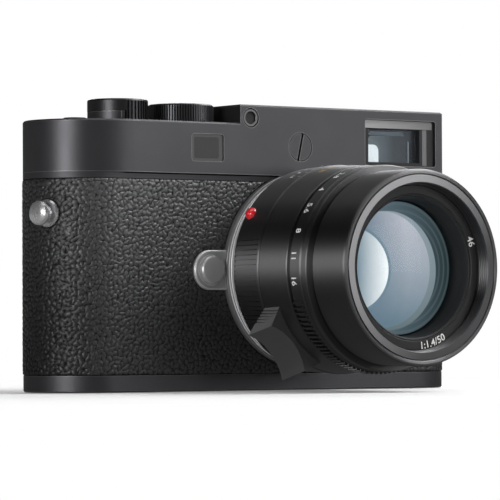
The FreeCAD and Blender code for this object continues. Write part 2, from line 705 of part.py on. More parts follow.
# ----------------------------------------------------------------------- top controls
@piece
def power_switch_collar():
    """Ring round the shutter button, with a ribbed tab that reaches down the front."""
    rad, low, top = dim.power_rad, dim.power_line, dim.power_top
    ring = turned("power_switch", [
        (4.95, low), (rad, low), (rad, top - 0.5), (rad - 0.18, top - 0.16), (rad - 0.6, top),
        (5.6, top), (4.95, top - 0.5)], (dim.power_x, dim.power_y, 0), ALONG_Z)
    tab_low = 75.0
    tab = cut("power_tab",
              rod("power_tab_outer", rad, (dim.power_x, dim.power_y, tab_low),
                  low + 0.5 - tab_low, Rotation(Z_DIR, 253.0), 77.0),
              [rod("power_tab_inner", 7.8, (dim.power_x, dim.power_y, 74), 6)])
    grooves = [spun_box("power_grip_%d" % k, 1.0, 0.5, 5.25,
                        (dim.power_x, dim.power_y, tab_low - 0.1), 256.3 + 7.5 * k,
                        start=rad.value - 0.42) for k in range(10)]
    return cut("power_switch_cut", fuse("power_switch_raw", [ring, tab]), grooves)


@piece
def shutter_button():
    return turned("shutter_button", [
        (1.45, 81.0), (2.4, 81.1), (3.6, 80.95), (4.5, 80.5), (4.88, 79.9), (4.88, 79.3),
        (2.98, 79.3), (2.98, 72.4), (0.0, 72.4), (0.0, 76.5), (1.45, 76.5)],
        (dim.power_x, dim.power_y, 0), ALONG_Z)


@piece
def speed_dial():
    rad, low, top = dim.speed_rad, dim.speed_low, dim.speed_top
    dial = turned("speed_dial_body", [
        (0.0, low), (rad - 0.25, low), (rad, low + 0.2), (rad, top - 0.55),
        (rad - 0.55, top - 0.12), (6.4, top), (0.0, top)],
        (dim.speed_x, dim.speed_y, 0), ALONG_Z)
    repeat_round(dial, "speed_dial_flute", [flute(rad, 0.42, 0.39)], top + 0.5,
                 depth=6.2, count=78, angle=360.0)
    foot = (dim.speed_x, dim.speed_y, 70.2)
    return fuse("speed_dial_with_spindle", [
        dial,
        rod("speed_spindle_rod", 2.5, foot, low - 70.0),
        rod("speed_spindle_plate", 4.6, foot, 1.2)])


@piece
def function_button():
    return turned("function_button", [
        (0.0, 75.35), (2.3, 75.35), (3.0, 75.5), (dim.func_rad, 75.25), (dim.func_rad, 73.0),
        (3.9, 73.0), (3.9, 72.0), (0.0, 72.0)], (dim.func_x, dim.func_y, 0), ALONG_Z)


@piece
def iso_lift_core():
    return turned("iso_lift_core", [
        (0.0, 80.5), (2.9, 80.5), (3.1, 80.3), (3.1, 76.0), (2.5, 76.0), (2.5, 73.7),
        (0.0, 73.7)], (dim.iso_x, dim.iso_y, 0), ALONG_Z)


@piece
def iso_dial():
    rad = dim.iso_rad
    dial = turned("iso_dial_body", [
        (3.16, 75.45), (rad, 75.45), (rad, 80.1), (rad - 0.45, 80.5), (3.16, 80.5)],
        (dim.iso_x, dim.iso_y, 0), ALONG_Z)
    repeat_round(dial, "iso_dial_flute", [flute(rad, 0.4, 0.4)], 81.0,
                 depth=6.0, count=48, angle=360.0)
    return dial


@piece
def thumb_wheel():
    rad = dim.wheel_rad
    wheel = turned("thumb_wheel_body", [
        (1.56, 65.9), (rad - 0.4, 65.9), (rad, 66.3), (rad, 70.0), (rad - 0.4, 70.4),
        (1.56, 70.4)], (dim.wheel_x, dim.wheel_y, 0), ALONG_Z)
    repeat_round(wheel, "thumb_wheel_flute", [flute(rad, 0.4, 0.36)], 71.0,
                 depth=6.0, count=48, angle=360.0)
    return wheel


@piece
def thumb_wheel_carrier():
    return fuse("thumb_wheel_carrier_all", [
        rod("thumb_wheel_pin", 1.5, (dim.wheel_x, dim.wheel_y, 63.6), 8.0),
        box("thumb_wheel_bracket", dim.wheel_x - 4, dim.wheel_x + 4,
            dim.wheel_y - 3, dim.wheel_y + 2.4, 62.4, 64.6)])


@piece
def accessory_shoe():
    """Block on the lens's centre line, slotted from the back, open between its rails."""
    middle = dim.lens_x
    cuts = [
        box("shoe_slot", middle - 9.35, middle + 9.35, -7.2, 20, 77.9, 79.95),
        box("shoe_gap", middle - 6.3, middle + 6.3, -7.2, 20, 77.9, 82)]
    cuts += rods("shoe_screw_hole", SHOE_PILOT_RAD, SHOE_SCREW_SPOTS, 76, 3)
    cuts += rods("shoe_screw_seat", 1.3, SHOE_SCREW_SPOTS, 77.5, 2)
    block = box("shoe_block", middle - 10.7, middle + 10.7, -8.2, 13.2, 77.12, 80.5)
    return cut("accessory_shoe_cut", block, cuts)


@piece
def small_screws():
    """Four screws hold the mount ring, four the shoe."""
    return fuse("small_screws_all",
                screws("mount_screw", MOUNT_SCREW_SPOTS, head=(1.25, -18.35, 0.94),
                       shank=(0.68, -17.6, 3.0), turn=BACK)
                + screws("shoe_screw", SHOE_SCREW_SPOTS, head=(1.25, 77.52, 0.36),
                         shank=(0.68, 74.5, 3.2)))


# --------------------------------------------------------------------- rear of camera
@piece
def eyepiece_ring():
    face, rad = dim.end_rad, dim.eye_rad
    return turned("eyepiece_ring", [
        (4.3, 13.2), (5.5, 13.2), (5.5, face + 0.02), (rad, face + 0.02), (rad, face + 1.8),
        (rad - 0.4, face + 2.2), (5.2, face + 2.2), (4.9, face + 1.0), (4.3, face + 1.0)],
        (dim.eye_x, 0, dim.eye_z))


@piece
def eyepiece_lens():
    crown_y, curve = 17.4, 30.0
    return common("eyepiece_lens_solid",
                  rod("eyepiece_lens_blank", 4.25, (dim.eye_x, 13.6, dim.eye_z), 4.2, BACK),
                  ball("eyepiece_lens_sphere", curve, (dim.eye_x, crown_y - curve, dim.eye_z)))


@piece
def screen_glass():
    return screen_block("screen_glass_pane", 0.0, 1.5, 15.7, dim.end_rad - 0.05)


@piece
def screen_module():
    return box("screen_module_box", dim.screen_left + 1.5, dim.screen_right - 3.5,
               14.0, 15.68, dim.screen_low + 1.5, dim.screen_high - 1.5)


@piece
def pad_gimbal():
    return fuse("pad_gimbal_all", [
        rod("pad_gimbal_plate", 7.4, (dim.pad_x, 10.9, dim.pad_z), 0.8, BACK),
        rod("pad_gimbal_post", 1.4, (dim.pad_x, 9.9, dim.pad_z), 1.2, BACK)])


@piece
def direction_pad():
    rad = dim.pad_rad
    return turned("direction_pad", [
        (4.2, 12.6), (rad - 0.7, 12.6), (rad, 13.6), (rad, 16.9), (rad - 0.3, 17.3),
        (7.2, 17.3), (6.2, 16.9), (4.5, 16.9), (4.2, 16.6)], (dim.pad_x, 0, dim.pad_z))


@piece
def centre_button():
    return turned("centre_button", [
        (0.0, 12.5), (3.9, 12.5), (4.0, 12.9), (4.0, 16.9), (3.6, 17.2), (0.0, 17.35)],
        (dim.pad_x, 0, dim.pad_z))


def rear_key(name, dx):
    rad = dim.key_rad
    return turned(name, [
        (0.0, 13.2), (rad - 0.8, 13.2), (rad, 13.6), (rad, 17.0), (rad - 0.35, 17.3),
        (0.0, 17.45)], (dim.pad_x + dx, 0, dim.key_z))


@piece
def play_button():
    return rear_key("play_button", 0)


@piece
def menu_button():
    return rear_key("menu_button", KEY_PITCH)


@piece
def rear_function_button():
    return rear_key("rear_function_button", -KEY_PITCH)


# -------------------------------------------------------------------- inside the body
def lens_block(name, half_width, half_height, y0, y1):
    """A block centred on the lens axis."""
    return box(name, dim.lens_x - half_width, dim.lens_x + half_width, y0, y1,
               dim.lens_z - half_height, dim.lens_z + half_height)


@piece
def image_sensor():
    return fuse("image_sensor_all", [
        lens_block("image_sensor_die", 18.0, 12.0, 9.4, 10.2),
        lens_block("image_sensor_carrier", 21.5, 16.0, 10.2, 11.4)])


@piece
def shutter_unit():
    """A frame with four overlapping blades, stepped up and back."""
    frame = cut("shutter_frame", lens_block("shutter_frame_block", 26.5, 20.5, 3.6, 8.6),
                [lens_block("shutter_frame_gate", 18.5, 12.5, 3, 9)])
    blades = []
    for i in range(4):
        y = 4.4 + 0.4 * i
        low = dim.lens_z - 12.4 + 6.0 * i
        height = 6.8 if i < 3 else 6.4
        blades.append(box("shutter_blade_%d" % i, dim.lens_x - 18.4, dim.lens_x + 18.4,
                          y, y + 0.3, low, low + height))
    return fuse("shutter_unit_all", [frame] + blades)


@piece
def main_board():
    return fuse("main_board_all", [
        box("main_board_plate", -19.0, 55.0, 12.1, 13.2, 8.0, 57.0),
        box("main_board_chip_a", 36.0, 50.0, 10.6, 12.15, 30.0, 44.0),
        box("main_board_chip_b", 37.0, 47.0, 10.9, 12.15, 12.0, 22.0)])


@piece
def battery():
    return rounded("battery_case", dim.cell_left, dim.cell_right, dim.cell_front,
                   dim.cell_back, 0.02, dim.cell_top, 3.0, Z_DIR)


@piece
def battery_latch():
    foot = (LATCH_X, 0.0, 0.1)
    return fuse("battery_latch_raw", [
        rod("battery_latch_eye", 3.1, foot, 0.95),
        rod("battery_latch_axle", 1.0, (LATCH_X, 0.0, 0.9), 2.6),
        spun_box("battery_latch_arm", 10.5, 3.2, 0.95, foot, 180.0)])


@piece
def tripod_bush():
    return turned("tripod_bush", [
        (dim.bush_rad, 0.02), (6.0, 0.02), (6.0, 6.22), (7.3, 6.22), (7.3, 8.2), (0.0, 8.2),
        (0.0, 7.0), (dim.bush_rad, 7.0)], (dim.bush_x, dim.bush_y, 0), ALONG_Z)


@piece
def usb_port():
    case = rounded("usb_port_case", USB_LEFT, USB_RIGHT, -USB_HALF, USB_HALF,
                   0.6, 9.0, 1.5, Z_DIR)
    return cut("usb_port_cut", case, [
        rounded("usb_port_mouth", USB_LEFT + 0.4, USB_RIGHT - 0.4, -1.25, 1.25,
                0, 7.6, 1.2, Z_DIR)])


@piece
def base_screws():
    return fuse("base_screws_all", screws("base_screw", BASE_SCREW_SPOTS,
                                          head=(1.65, 0.1, 0.88), shank=(0.78, 0.9, 6.2)))


@piece
def strap_lugs():
    """A waisted stud at each end, drilled upright through the waist."""
    profile = [                          # (radius, distance out from the rounded end)
        (0.0, -3.4), (1.55, -3.4), (1.55, -0.592), (3.8, -0.592), (3.8, 0.15), (3.4, 0.55),
        (2.2, 0.75), (1.95, 1.3), (2.0, 2.2), (2.9, 2.75), (3.35, 3.2), (3.3, 3.75),
        (2.7, 4.25), (1.4, 4.55), (0.0, 4.62)]
    studs = []
    eyes = []
    for side in (-1, 1):
        studs.append(turned("strap_lug_side_%d" % (side + 1), profile, lug_point(side, 0),
                            ALONG_Z, Rotation(Z_DIR, lug_axis(side))))
        x, y, z = lug_point(side, 1.75)
        eyes.append(rod("strap_lug_eye_%d" % (side + 1), 0.85, (x, y, z - 4), 8))
    return cut("strap_lugs_cut", fuse("strap_lugs_pair", studs), eyes)


# --------------------------------------------------------------------------- the lens
# Profiles are (radius, distance in front of the mount face).
# Outside of the barrel's flared back part, going forward.
BARREL_SIDE = [(26.1, 1.42), (28.3, 4.1), (28.7, 4.8), (dim.barrel_rad, 16.3)]


@piece
def lens_bayonet():
    plug, chrome = dim.throat_rad - 0.1, dim.chrome_rad
    blank = lens_turned("lens_bayonet_blank", [
        (20.65, -3.8), (plug, -3.8), (plug, 0.02), (chrome, 0.02), (chrome, 0.55),
        (chrome - 0.4, 0.68), (chrome - 0.4, 0.86), (chrome, 0.98), (chrome, 1.3),
        (chrome - 0.1, 1.4), (24.0, 1.4), (24.0, 2.1), (20.65, 2.1)])
    return cut("lens_bayonet_cut", blank, [
        rod("lens_bayonet_pin_notch", 1.1, (PIN_X, -19.5, dim.rel_z), 2, BACK)])


@piece
def lens_barrel():
    barrel = lens_turned("lens_barrel", [
        (24.42, 2.2), (24.42, 28.0), (25.5, 28.0), (25.5, 16.62), (28.9, 16.62)]
        + BARREL_SIDE[::-1] + [(24.05, 1.42), (24.05, 2.2)])
    groove = [(28.42, -0.55), (29.8, -0.6), (29.8, 0.6), (28.42, 0.55)]
    # the sketch's normal points to -Y, so its offset is a distance forward
    repeat_round(barrel, "barrel_flute", [polar_loop(groove, 164.5, sign) for sign in (1, -1)],
                 -dim.flange_y + 15.7, depth=10.6, count=24, angle=63.25, axis="Y_Axis")
    return barrel


@piece
def index_bead():
    """Part of a ball that stands out of the barrel's flank."""
    angle = math.radians(147.6)
    bead = ball("index_bead_ball", 1.88, (
        dim.lens_x + 28.55 * math.cos(angle), dim.flange_y - 7.2,
        dim.lens_z + 28.55 * math.sin(angle)))
    return cut("index_bead_cut", bead, [
        lens_turned("index_bead_seat", [(0.0, 0.0)] + BARREL_SIDE + [(0.0, 16.3)])])


@piece
def focus_ring():
    return lens_turned("focus_ring", [
        (25.56, 16.78), (28.75, 16.78), (dim.focus_rad, 17.0), (28.6, 28.75), (28.35, 29.0),
        (27.46, 29.0), (27.46, 24.0), (25.56, 24.0)])


# The finger tab, across the lens axis: middle angle, then the back outline's
# horn tips and roots, each as a radius and a half angle in degrees.
TAB_MIDDLE = 222.5
TAB_TIP_RAD, TAB_TIP_HALF = 37.2, 13.2
TAB_ROOT_RAD, TAB_ROOT_HALF = 28.9, 20.9


def tab_point(rad, offset, y=0.0):
    """A point at an angle from the tab's middle, about the lens axis."""
    angle = math.radians(TAB_MIDDLE + offset)
    return Vector(dim.lens_x.value + rad * math.cos(angle), y,
                  dim.lens_z.value + rad * math.sin(angle))


def tab_outline(ahead, tip_rad, tip_half, root_rad, root_half, scoop_rad):
    """Outline of the finger tab across the lens axis: two horns with a scoop."""
    y = dim.flange_y.value - ahead
    first_root = tab_point(root_rad, -root_half, y)
    first_tip = tab_point(tip_rad, -tip_half, y)
    last_tip = tab_point(tip_rad, tip_half, y)
    last_root = tab_point(root_rad, root_half, y)
    return Part.Wire([
        Part.LineSegment(first_root, first_tip).toShape(),
        Part.Arc(first_tip, tab_point(scoop_rad, 0, y), last_tip).toShape(),
        Part.LineSegment(last_tip, last_root).toShape(),
        Part.Arc(last_root, tab_point(root_rad - 0.6, 0, y), first_root).toShape()])


@piece
def focus_tab():
    """Lofted finger tab, bedded on the focus ring, with one flank grooved."""
    back = tab_outline(16.78, TAB_TIP_RAD, TAB_TIP_HALF, TAB_ROOT_RAD, TAB_ROOT_HALF,
                       scoop_rad=34.1)
    front = tab_outline(23.4, tip_rad=33.5, tip_half=14.5, root_rad=28.6, root_half=21.6,
                        scoop_rad=30.1)
    loft = doc.addObject("Part::Feature", "focus_tab_loft")
    loft.Shape = Part.makeLoft([back, front], True, True)
    tools = [lens_turned("focus_tab_bed", [
        (0.0, 10.0), (29.02, 10.0), (29.02, 17.0), (28.62, 28.75), (0.0, 28.75)])]
    flank_start = tab_point(TAB_ROOT_RAD, -TAB_ROOT_HALF)
    flank = tab_point(TAB_TIP_RAD, -TAB_TIP_HALF).sub(flank_start)
    flank.normalize()
    slope = math.degrees(math.atan2(flank.z, flank.x))
    for k in range(5):
        point = flank_start.add(flank * (1.15 + 0.98 * k))
        tools.append(tilted_box("focus_tab_groove_%d" % k, 0.42, 9.0, 0.7,
                                (point.x, -43.0, point.z), -slope))
    return cut("focus_tab_cut", loft, tools)


@piece
def focus_carrier():
    return lens_turned("focus_carrier", [
        (19.0, -7.4), (20.5, -7.4), (20.5, 2.8), (24.36, 2.8), (24.36, 28.3), (25.62, 28.3),
        (25.62, 24.5), (27.4, 24.5), (27.4, 29.9), (26.0, 29.9), (26.0, 35.08), (22.8, 35.08),
        (22.8, 4.3), (19.0, 4.3)])


@piece
def aperture_ring():
    ring = lens_turned("aperture_ring_body", [
        (26.06, 29.98), (28.1, 29.98), (28.35, 30.25), (28.45, 34.0), (28.45, 34.6),
        (28.1, 35.0), (26.06, 35.0)])
    tooth = [(28.2, -0.95), (29.1, -0.52), (29.1, 0.52), (28.2, 0.95)]
    repeat_round(ring, "aperture_ring_tooth", [polar_loop(tooth, 199.3)],
                 -dim.flange_y + 30.35, depth=3.75, count=48, angle=141.0,
                 axis="Y_Axis", additive=True)
    return ring


@piece
def front_barrel():
    rim, tube, thread, length = dim.front_rad, dim.tube_rad, dim.thread_rad, dim.lens_len
    return lens_turned("front_barrel", [
        (22.8, 35.12), (28.1, 35.12), (28.1, 35.75), (rim, 35.9), (rim, 37.25),
        (rim - 0.25, 37.5), (tube, 37.5), (tube, length - 0.15), (tube - 0.15, length),
        (thread + 0.2, length), (thread, length - 0.25), (thread, 48.9), (22.6, 48.9),
        (22.6, 44.0), (19.9, 44.0), (19.9, 38.6), (22.8, 38.6)])


@piece
def name_ring():
    return lens_turned("name_ring", [
        (22.55, 44.05), (22.55, 48.7), (22.35, 48.9), (20.2, 48.9), (20.05, 48.65),
        (19.5, 48.65), (19.2, 48.3), (18.6, 43.4), (18.6, 41.0), (19.8, 41.0), (19.8, 44.05)])


@piece
def front_glass():
    curve = 52.0
    sphere = ball("front_glass_sphere", curve,
                  (dim.lens_x, dim.flange_y - 46.4 + curve, dim.lens_z))
    blank = rod("front_glass_blank", dim.glass_rad,
                (dim.lens_x, dim.flange_y - 40.0, dim.lens_z), 10.0, FORWARD)
    return common("front_glass_solid", blank, sphere)


@piece
def rear_glass():
    return rod("rear_glass_blank", 18.9, (dim.lens_x, dim.flange_y - 2.0, dim.lens_z), 6.0, BACK)


@piece
def iris_unit():
    plate = rod("iris_unit_plate", 22.7, (dim.lens_x, dim.flange_y - 24.0, dim.lens_z),
                2.4, FORWARD)
    return cut("iris_unit_cut", plate, [
        rod("iris_unit_hole", 14.2, (dim.lens_x, dim.flange_y - 20.0, dim.lens_z),
            10, FORWARD)])


@piece
def lens_hood():
    bore, rad, length = dim.tube_rad + dim.run_gap, dim.hood_rad, dim.lens_len
    return lens_turned("lens_hood", [
        (bore, 38.25), (rad - 0.25, 38.25), (rad, 38.5), (rad, length - 0.7),
        (rad - 0.2, length - 0.2), (rad - 0.6, length), (dim.tube_rad + 0.35, length),
        (bore, length - 0.3)])


@piece
def follower_arm():
    """Rangefinder follower: a pivot, and a bar with a roller above the lens axis."""
    reach, pivot_y, roller_y = 12.0, -6.0, -9.45
    middle_z = dim.lens_z + 19.2
    pivot_x = dim.lens_x + reach
    angle = 180.0 + math.degrees(math.atan2(pivot_y - roller_y, reach))
    return fuse("follower_arm_all", [
        rod("follower_arm_pivot", 1.6, (pivot_x, pivot_y, middle_z - 1.6), 3.2),
        rod("follower_roller", 1.5, (dim.lens_x, roller_y, middle_z - 0.75), 1.5),
        spun_box("follower_arm_bar", 12.5, 1.8, 1.5, (pivot_x, pivot_y, middle_z - 0.75),
                 angle)])


# -------------------------------------------------------------- build, check and write
pieces = {}
for build in BUILDERS:
    result = build()
    result.Label = build.__name__
    pieces[build.__name__] = result
doc.recompute()

bad = [o.Name for o in doc.Objects if "Invalid" in o.State or "Error" in o.State]
if bad:
    raise RuntimeError("features in error: %s" % ", ".join(bad))
for name, obj in pieces.items():
    if obj.Shape.isNull() or not obj.Shape.isValid() or obj.Shape.Volume < 1e-3:
        raise RuntimeError("piece %s has no valid shape" % name)

os.makedirs("parts", exist_ok=True)
for name, obj in pieces.items():
    obj.Shape.exportStep(os.path.join("parts", name + ".step"))
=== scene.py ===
"""Looks for a rangefinder camera: materials, printed figures, leather, optics and studio.

The body lies along X with Z up, and its front faces -Y. The lens axis is parallel to Y.
Sizes are in millimetres; the studio and the viewing camera at the end are in metres.
"""

import math
from functools import cached_property

import bpy
import numpy as np
from mathutils import Matrix, Vector


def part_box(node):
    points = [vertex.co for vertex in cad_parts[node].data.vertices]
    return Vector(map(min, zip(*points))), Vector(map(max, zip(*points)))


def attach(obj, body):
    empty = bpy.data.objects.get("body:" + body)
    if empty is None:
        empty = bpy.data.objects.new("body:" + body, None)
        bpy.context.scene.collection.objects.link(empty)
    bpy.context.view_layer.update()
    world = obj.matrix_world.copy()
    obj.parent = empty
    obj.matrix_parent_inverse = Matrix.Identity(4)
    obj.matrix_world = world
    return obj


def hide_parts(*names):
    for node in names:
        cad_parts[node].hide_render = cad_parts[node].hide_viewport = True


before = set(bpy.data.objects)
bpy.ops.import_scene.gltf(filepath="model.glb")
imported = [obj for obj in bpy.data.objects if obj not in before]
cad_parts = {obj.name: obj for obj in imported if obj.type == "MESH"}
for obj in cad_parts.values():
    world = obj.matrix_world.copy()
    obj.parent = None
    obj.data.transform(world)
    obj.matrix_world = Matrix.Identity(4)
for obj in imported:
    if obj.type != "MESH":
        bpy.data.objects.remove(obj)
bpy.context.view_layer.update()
MM = 0.001


def mm_box(node):
    low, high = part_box(node)
    return np.array(low) * 1000, np.array(high) * 1000


def centre(node):
    low, high = mm_box(node)
    return (low + high) / 2


LENS_X, _, LENS_Z = centre("front_barrel")
RIM_Y = mm_box("front_barrel")[0][1]
MOUNT_Y = mm_box("mount_ring")[0][1]
COVER_LOW = mm_box("top_cover")[0]
SKIN_LOW, SKIN_HIGH = mm_box("leather_covering")
END_RADIUS = SKIN_HIGH[1]             # half-round ends of the body
END_X = SKIN_HIGH[0] - END_RADIUS     # distance of their centres from X = 0


# ------------------------------------------------------------------ node helpers
class Nodes:
    """Short helpers for the node tree of a material or a world."""

    def __init__(self, owner):
        owner.use_nodes = True
        self.tree = owner.node_tree
        self.tree.nodes.clear()

    def add(self, kind, *inputs, **settings):
        """New node with the given settings, its first inputs filled in order."""
        node = self.tree.nodes.new(kind)
        for key, value in settings.items():
            setattr(node, key, value)
        for socket, value in zip(node.inputs, inputs):
            self.put(socket, value)
        return node

    def put(self, socket, value):
        """Link or set one input. Colours are given without alpha."""
        if isinstance(value, bpy.types.NodeSocket):
            self.tree.links.new(value, socket)
        elif socket.type == "RGBA":
            socket.default_value = (*value, 1)
        else:
            socket.default_value = value

    def fill(self, node, **inputs):
        for key, value in inputs.items():
            self.put(node.inputs[key], value)
        return node

    def math(self, operation, a, b=0.0, c=0.0, clamp=False):
        node = self.add("ShaderNodeMath", a, b, c, operation=operation, use_clamp=clamp)
        return node.outputs[0]

    def times(self, a, b):
        return self.math("MULTIPLY", a, b)

    def plus(self, a, b, clamp=False):
        return self.math("ADD", a, b, clamp=clamp)

    def line(self, value, slope, offset, clamp=False):
        return self.math("MULTIPLY_ADD", value, slope, offset, clamp)


INPUT_NAMES = {
    "color": "Base Color", "metal": "Metallic", "rough": "Roughness", "spec": "Specular IOR Level",
    "coat": "Coat Weight", "coat_rough": "Coat Roughness", "glow": "Emission Color",
    "glow_power": "Emission Strength",
}


class Look(Nodes):
    """A material. Places in its nodes are in millimetres."""

    def __init__(self, name):
        self.material = bpy.data.materials.new(name)
        super().__init__(self.material)
        self.output = self.add("ShaderNodeOutputMaterial")
        self.last_bump = None

    # Made on first use, so that no look carries nodes it doesn't need.
    @cached_property
    def principled(self):
        node = self.add("ShaderNodeBsdfPrincipled")
        self.surface(node)
        return node

    @cached_property
    def coords(self):
        return self.add("ShaderNodeTexCoord")

    @cached_property
    def at(self):
        place = self.coords.outputs["Object"]
        node = self.add("ShaderNodeVectorMath", place, (1000, 1000, 1000), operation="MULTIPLY")
        return node.outputs[0]

    @cached_property
    def axes(self):
        return self.add("ShaderNodeSeparateXYZ", self.at).outputs

    x = property(lambda self: self.axes[0])
    y = property(lambda self: self.axes[1])
    z = property(lambda self: self.axes[2])

    def surface(self, node):
        self.put(self.output.inputs[0], node.outputs[0])

    def dot(self, a, b):
        return self.add("ShaderNodeVectorMath", a, b, operation="DOT_PRODUCT").outputs[1]

    def noise(self, scale, detail=2.0, rough=0.5, at=None, distort=0.0):
        node = self.add("ShaderNodeTexNoise")
        self.fill(node, Vector=at or self.at, Scale=scale, Detail=detail, Roughness=rough,
                  Distortion=distort)
        return node.outputs[0]

    def cells(self, scale, feature="F1"):
        node = self.add("ShaderNodeTexVoronoi", feature=feature)
        return self.fill(node, Vector=self.at, Scale=scale).outputs["Distance"]

    def ramp(self, value, *stops):
        """Value through two (position, result) pairs, straight between them."""
        node = self.add("ShaderNodeValToRGB", value)
        for element, (position, result) in zip(node.color_ramp.elements, stops):
            element.position = position
            element.color = (result, result, result, 1)
        return node.outputs[0]

    def mix(self, factor, a, b):
        node = self.add("ShaderNodeMix", data_type="RGBA")
        for key, value in (("Factor", factor), (6, a), (7, b)):  # 6 and 7 are the colour inputs
            self.put(node.inputs[key], value)
        return node.outputs[2]

    def spread(self, value, low, high):
        """A 0 to 1 value stretched to low to high."""
        return self.line(value, high - low, low)

    def rise(self, value, start, end):
        """0 at start and 1 at end, clamped outside them."""
        return self.line(value, 1 / (end - start), -start / (end - start), clamp=True)

    def step(self, value, edge, soft):
        """0 to 1 across an edge of width soft; a negative soft turns it round."""
        return self.line(value, 1 / soft, 0.5 - edge / soft, clamp=True)

    def between(self, value, low, high, soft):
        """1 where value is between low and high, with soft edges."""
        return self.times(self.step(value, low, soft), self.step(value, high, -soft))

    def length(self, a, b):
        return self.math("SQRT", self.plus(self.times(a, a), self.times(b, b)))

    def from_lens_axis(self):
        """Offsets in X and Z from the lens axis, and the radius."""
        dx = self.math("SUBTRACT", self.x, LENS_X)
        dz = self.math("SUBTRACT", self.z, LENS_Z)
        return dx, dz, self.length(dx, dz)

    def disc(self, dx, dz, place, radius, soft):
        """1 inside a circle, with a soft edge."""
        x, z = (self.math("SUBTRACT", a, b) for a, b in zip((dx, dz), place))
        return self.step(self.length(x, z), radius, -soft)

    def turned(self, fine, middle=(LENS_X, LENS_Z), axis="Y"):
        """Noise drawn out round an axis, as lathe marks are."""
        a, b, along = (self.x, self.z, self.y) if axis == "Y" else (self.x, self.y, self.z)
        da, db = self.math("SUBTRACT", a, middle[0]), self.math("SUBTRACT", b, middle[1])
        place = (self.times(self.length(da, db), fine), self.times(along, fine),
                 self.times(self.math("ARCTAN2", db, da), 1.2))
        place = self.add("ShaderNodeCombineXYZ", *place).outputs[0]
        return self.noise(scale=1.0, detail=3.0, rough=0.6, at=place)

    def bump(self, height, depth, strength=1.0):
        """Relief added on top of any earlier relief."""
        node = self.add("ShaderNodeBump")
        self.fill(node, Height=height, Distance=depth * MM, Strength=strength)
        if self.last_bump is not None:
            self.put(node.inputs["Normal"], self.last_bump)
        self.last_bump = node.outputs[0]
        self.put(self.principled.inputs["Normal"], self.last_bump)

    def set(self, **values):
        self.fill(self.principled, **{INPUT_NAMES[key]: v for key, v in values.items()})


def shade(tone, factor):
    return tuple(min(1.0, c * factor) for c in tone)


# ------------------------------------------------------------------ families of finish
def edge_highlight(look, radius, inner, outer):
    """Mask for a painted highlight: 1 along sharp edges, where the face normal leaves the normal
    averaged over the radius.
    """
    soft = look.add("ShaderNodeBevel", radius * MM, samples=6)
    true = look.add("ShaderNodeNewGeometry")
    return look.rise(look.dot(soft.outputs[0], true.outputs["Normal"]), outer, inner)


def satin_surface(look, colour, fine, rough, metal=0.85, depth=0.012):
    """Even grain with faint smears in the roughness."""
    smear = look.noise(scale=0.16, detail=4, rough=0.6, distort=0.6)
    rough = look.plus(look.spread(smear, rough - 0.05, rough + 0.05), look.times(fine, 0.04))
    look.set(color=colour, metal=metal, rough=rough)
    look.bump(fine, depth)


def satin(name, tone, rough, metal=0.85, grain=6.0, depth=0.012, edge=None):
    """Blasted metal: a fine even grain and slow drift in tone. Edge is the tone of the painted
    highlight along sharp edges.
    """
    look = Look(name)
    drift = look.noise(scale=0.035, detail=3)
    fine = look.noise(scale=grain)
    colour = look.mix(look.spread(drift, 0.0, 1.0), shade(tone, 0.85), shade(tone, 1.15))
    colour = look.mix(look.times(fine, 0.25), colour, shade(tone, 0.7))
    if edge:
        # painted highlight along sharp edges
        colour = look.mix(edge_highlight(look, radius=0.45, inner=0.90, outer=0.985), colour, edge)
    satin_surface(look, colour, fine, rough, metal, depth)
    return look


def draw_out(look, amount):
    """Spread highlights along the lens axis and keep them narrow round it."""
    tangent = look.add("ShaderNodeTangent", direction_type="RADIAL", axis="Y").outputs[0]
    inputs = {"Tangent": tangent, "Anisotropic": amount, "Anisotropic Rotation": 0.25}
    look.fill(look.principled, **inputs)


def turned_colour(look, marks, tone):
    drift = look.noise(scale=0.05, detail=3)
    colour = look.mix(drift, shade(tone, 0.9), shade(tone, 1.1))
    return look.mix(look.times(marks, 0.3), colour, shade(tone, 0.72))


def turned_surface(look, colour, marks, rough, metal, depth):
    look.set(color=colour, metal=metal, rough=look.spread(marks, rough - 0.06, rough + 0.08))
    look.bump(marks, depth)


def turned_metal(name, tone, rough, metal=1.0, fine=9.0, depth=0.006, drawn=0.0, **turning):
    look = Look(name)
    if drawn:
        draw_out(look, drawn)
    marks = look.turned(fine, **turning)
    turned_surface(look, turned_colour(look, marks, tone), marks, rough, metal, depth)
    return look


def lens_metal(name):
    return turned_metal(name, (0.13, 0.13, 0.133), rough=0.42, fine=5.0, depth=0.002, drawn=0.95)


def dial_metal(name, node, tone=(0.07, 0.07, 0.075), depth=0.008):
    return turned_metal(name, tone, rough=0.36, metal=0.85, fine=7.0, depth=depth,
                        middle=centre(node)[:2], axis="Z")


def moulded(name, tone, rough, grain=4.0):
    look = Look(name)
    fine, drift = look.noise(scale=grain, detail=3), look.noise(scale=0.08)
    look.set(color=look.mix(drift, shade(tone, 0.8), shade(tone, 1.2)),
             rough=look.spread(fine, rough - 0.08, rough + 0.1))
    look.bump(fine, depth=0.02)
    return look


def paint(name, tone, rough=0.55):
    look = Look(name)
    fine = look.noise(scale=9.0, detail=3)
    look.set(color=look.mix(fine, shade(tone, 0.86), tone),
             rough=look.spread(fine, rough - 0.1, rough + 0.1))
    look.bump(fine, depth=0.01)
    return look


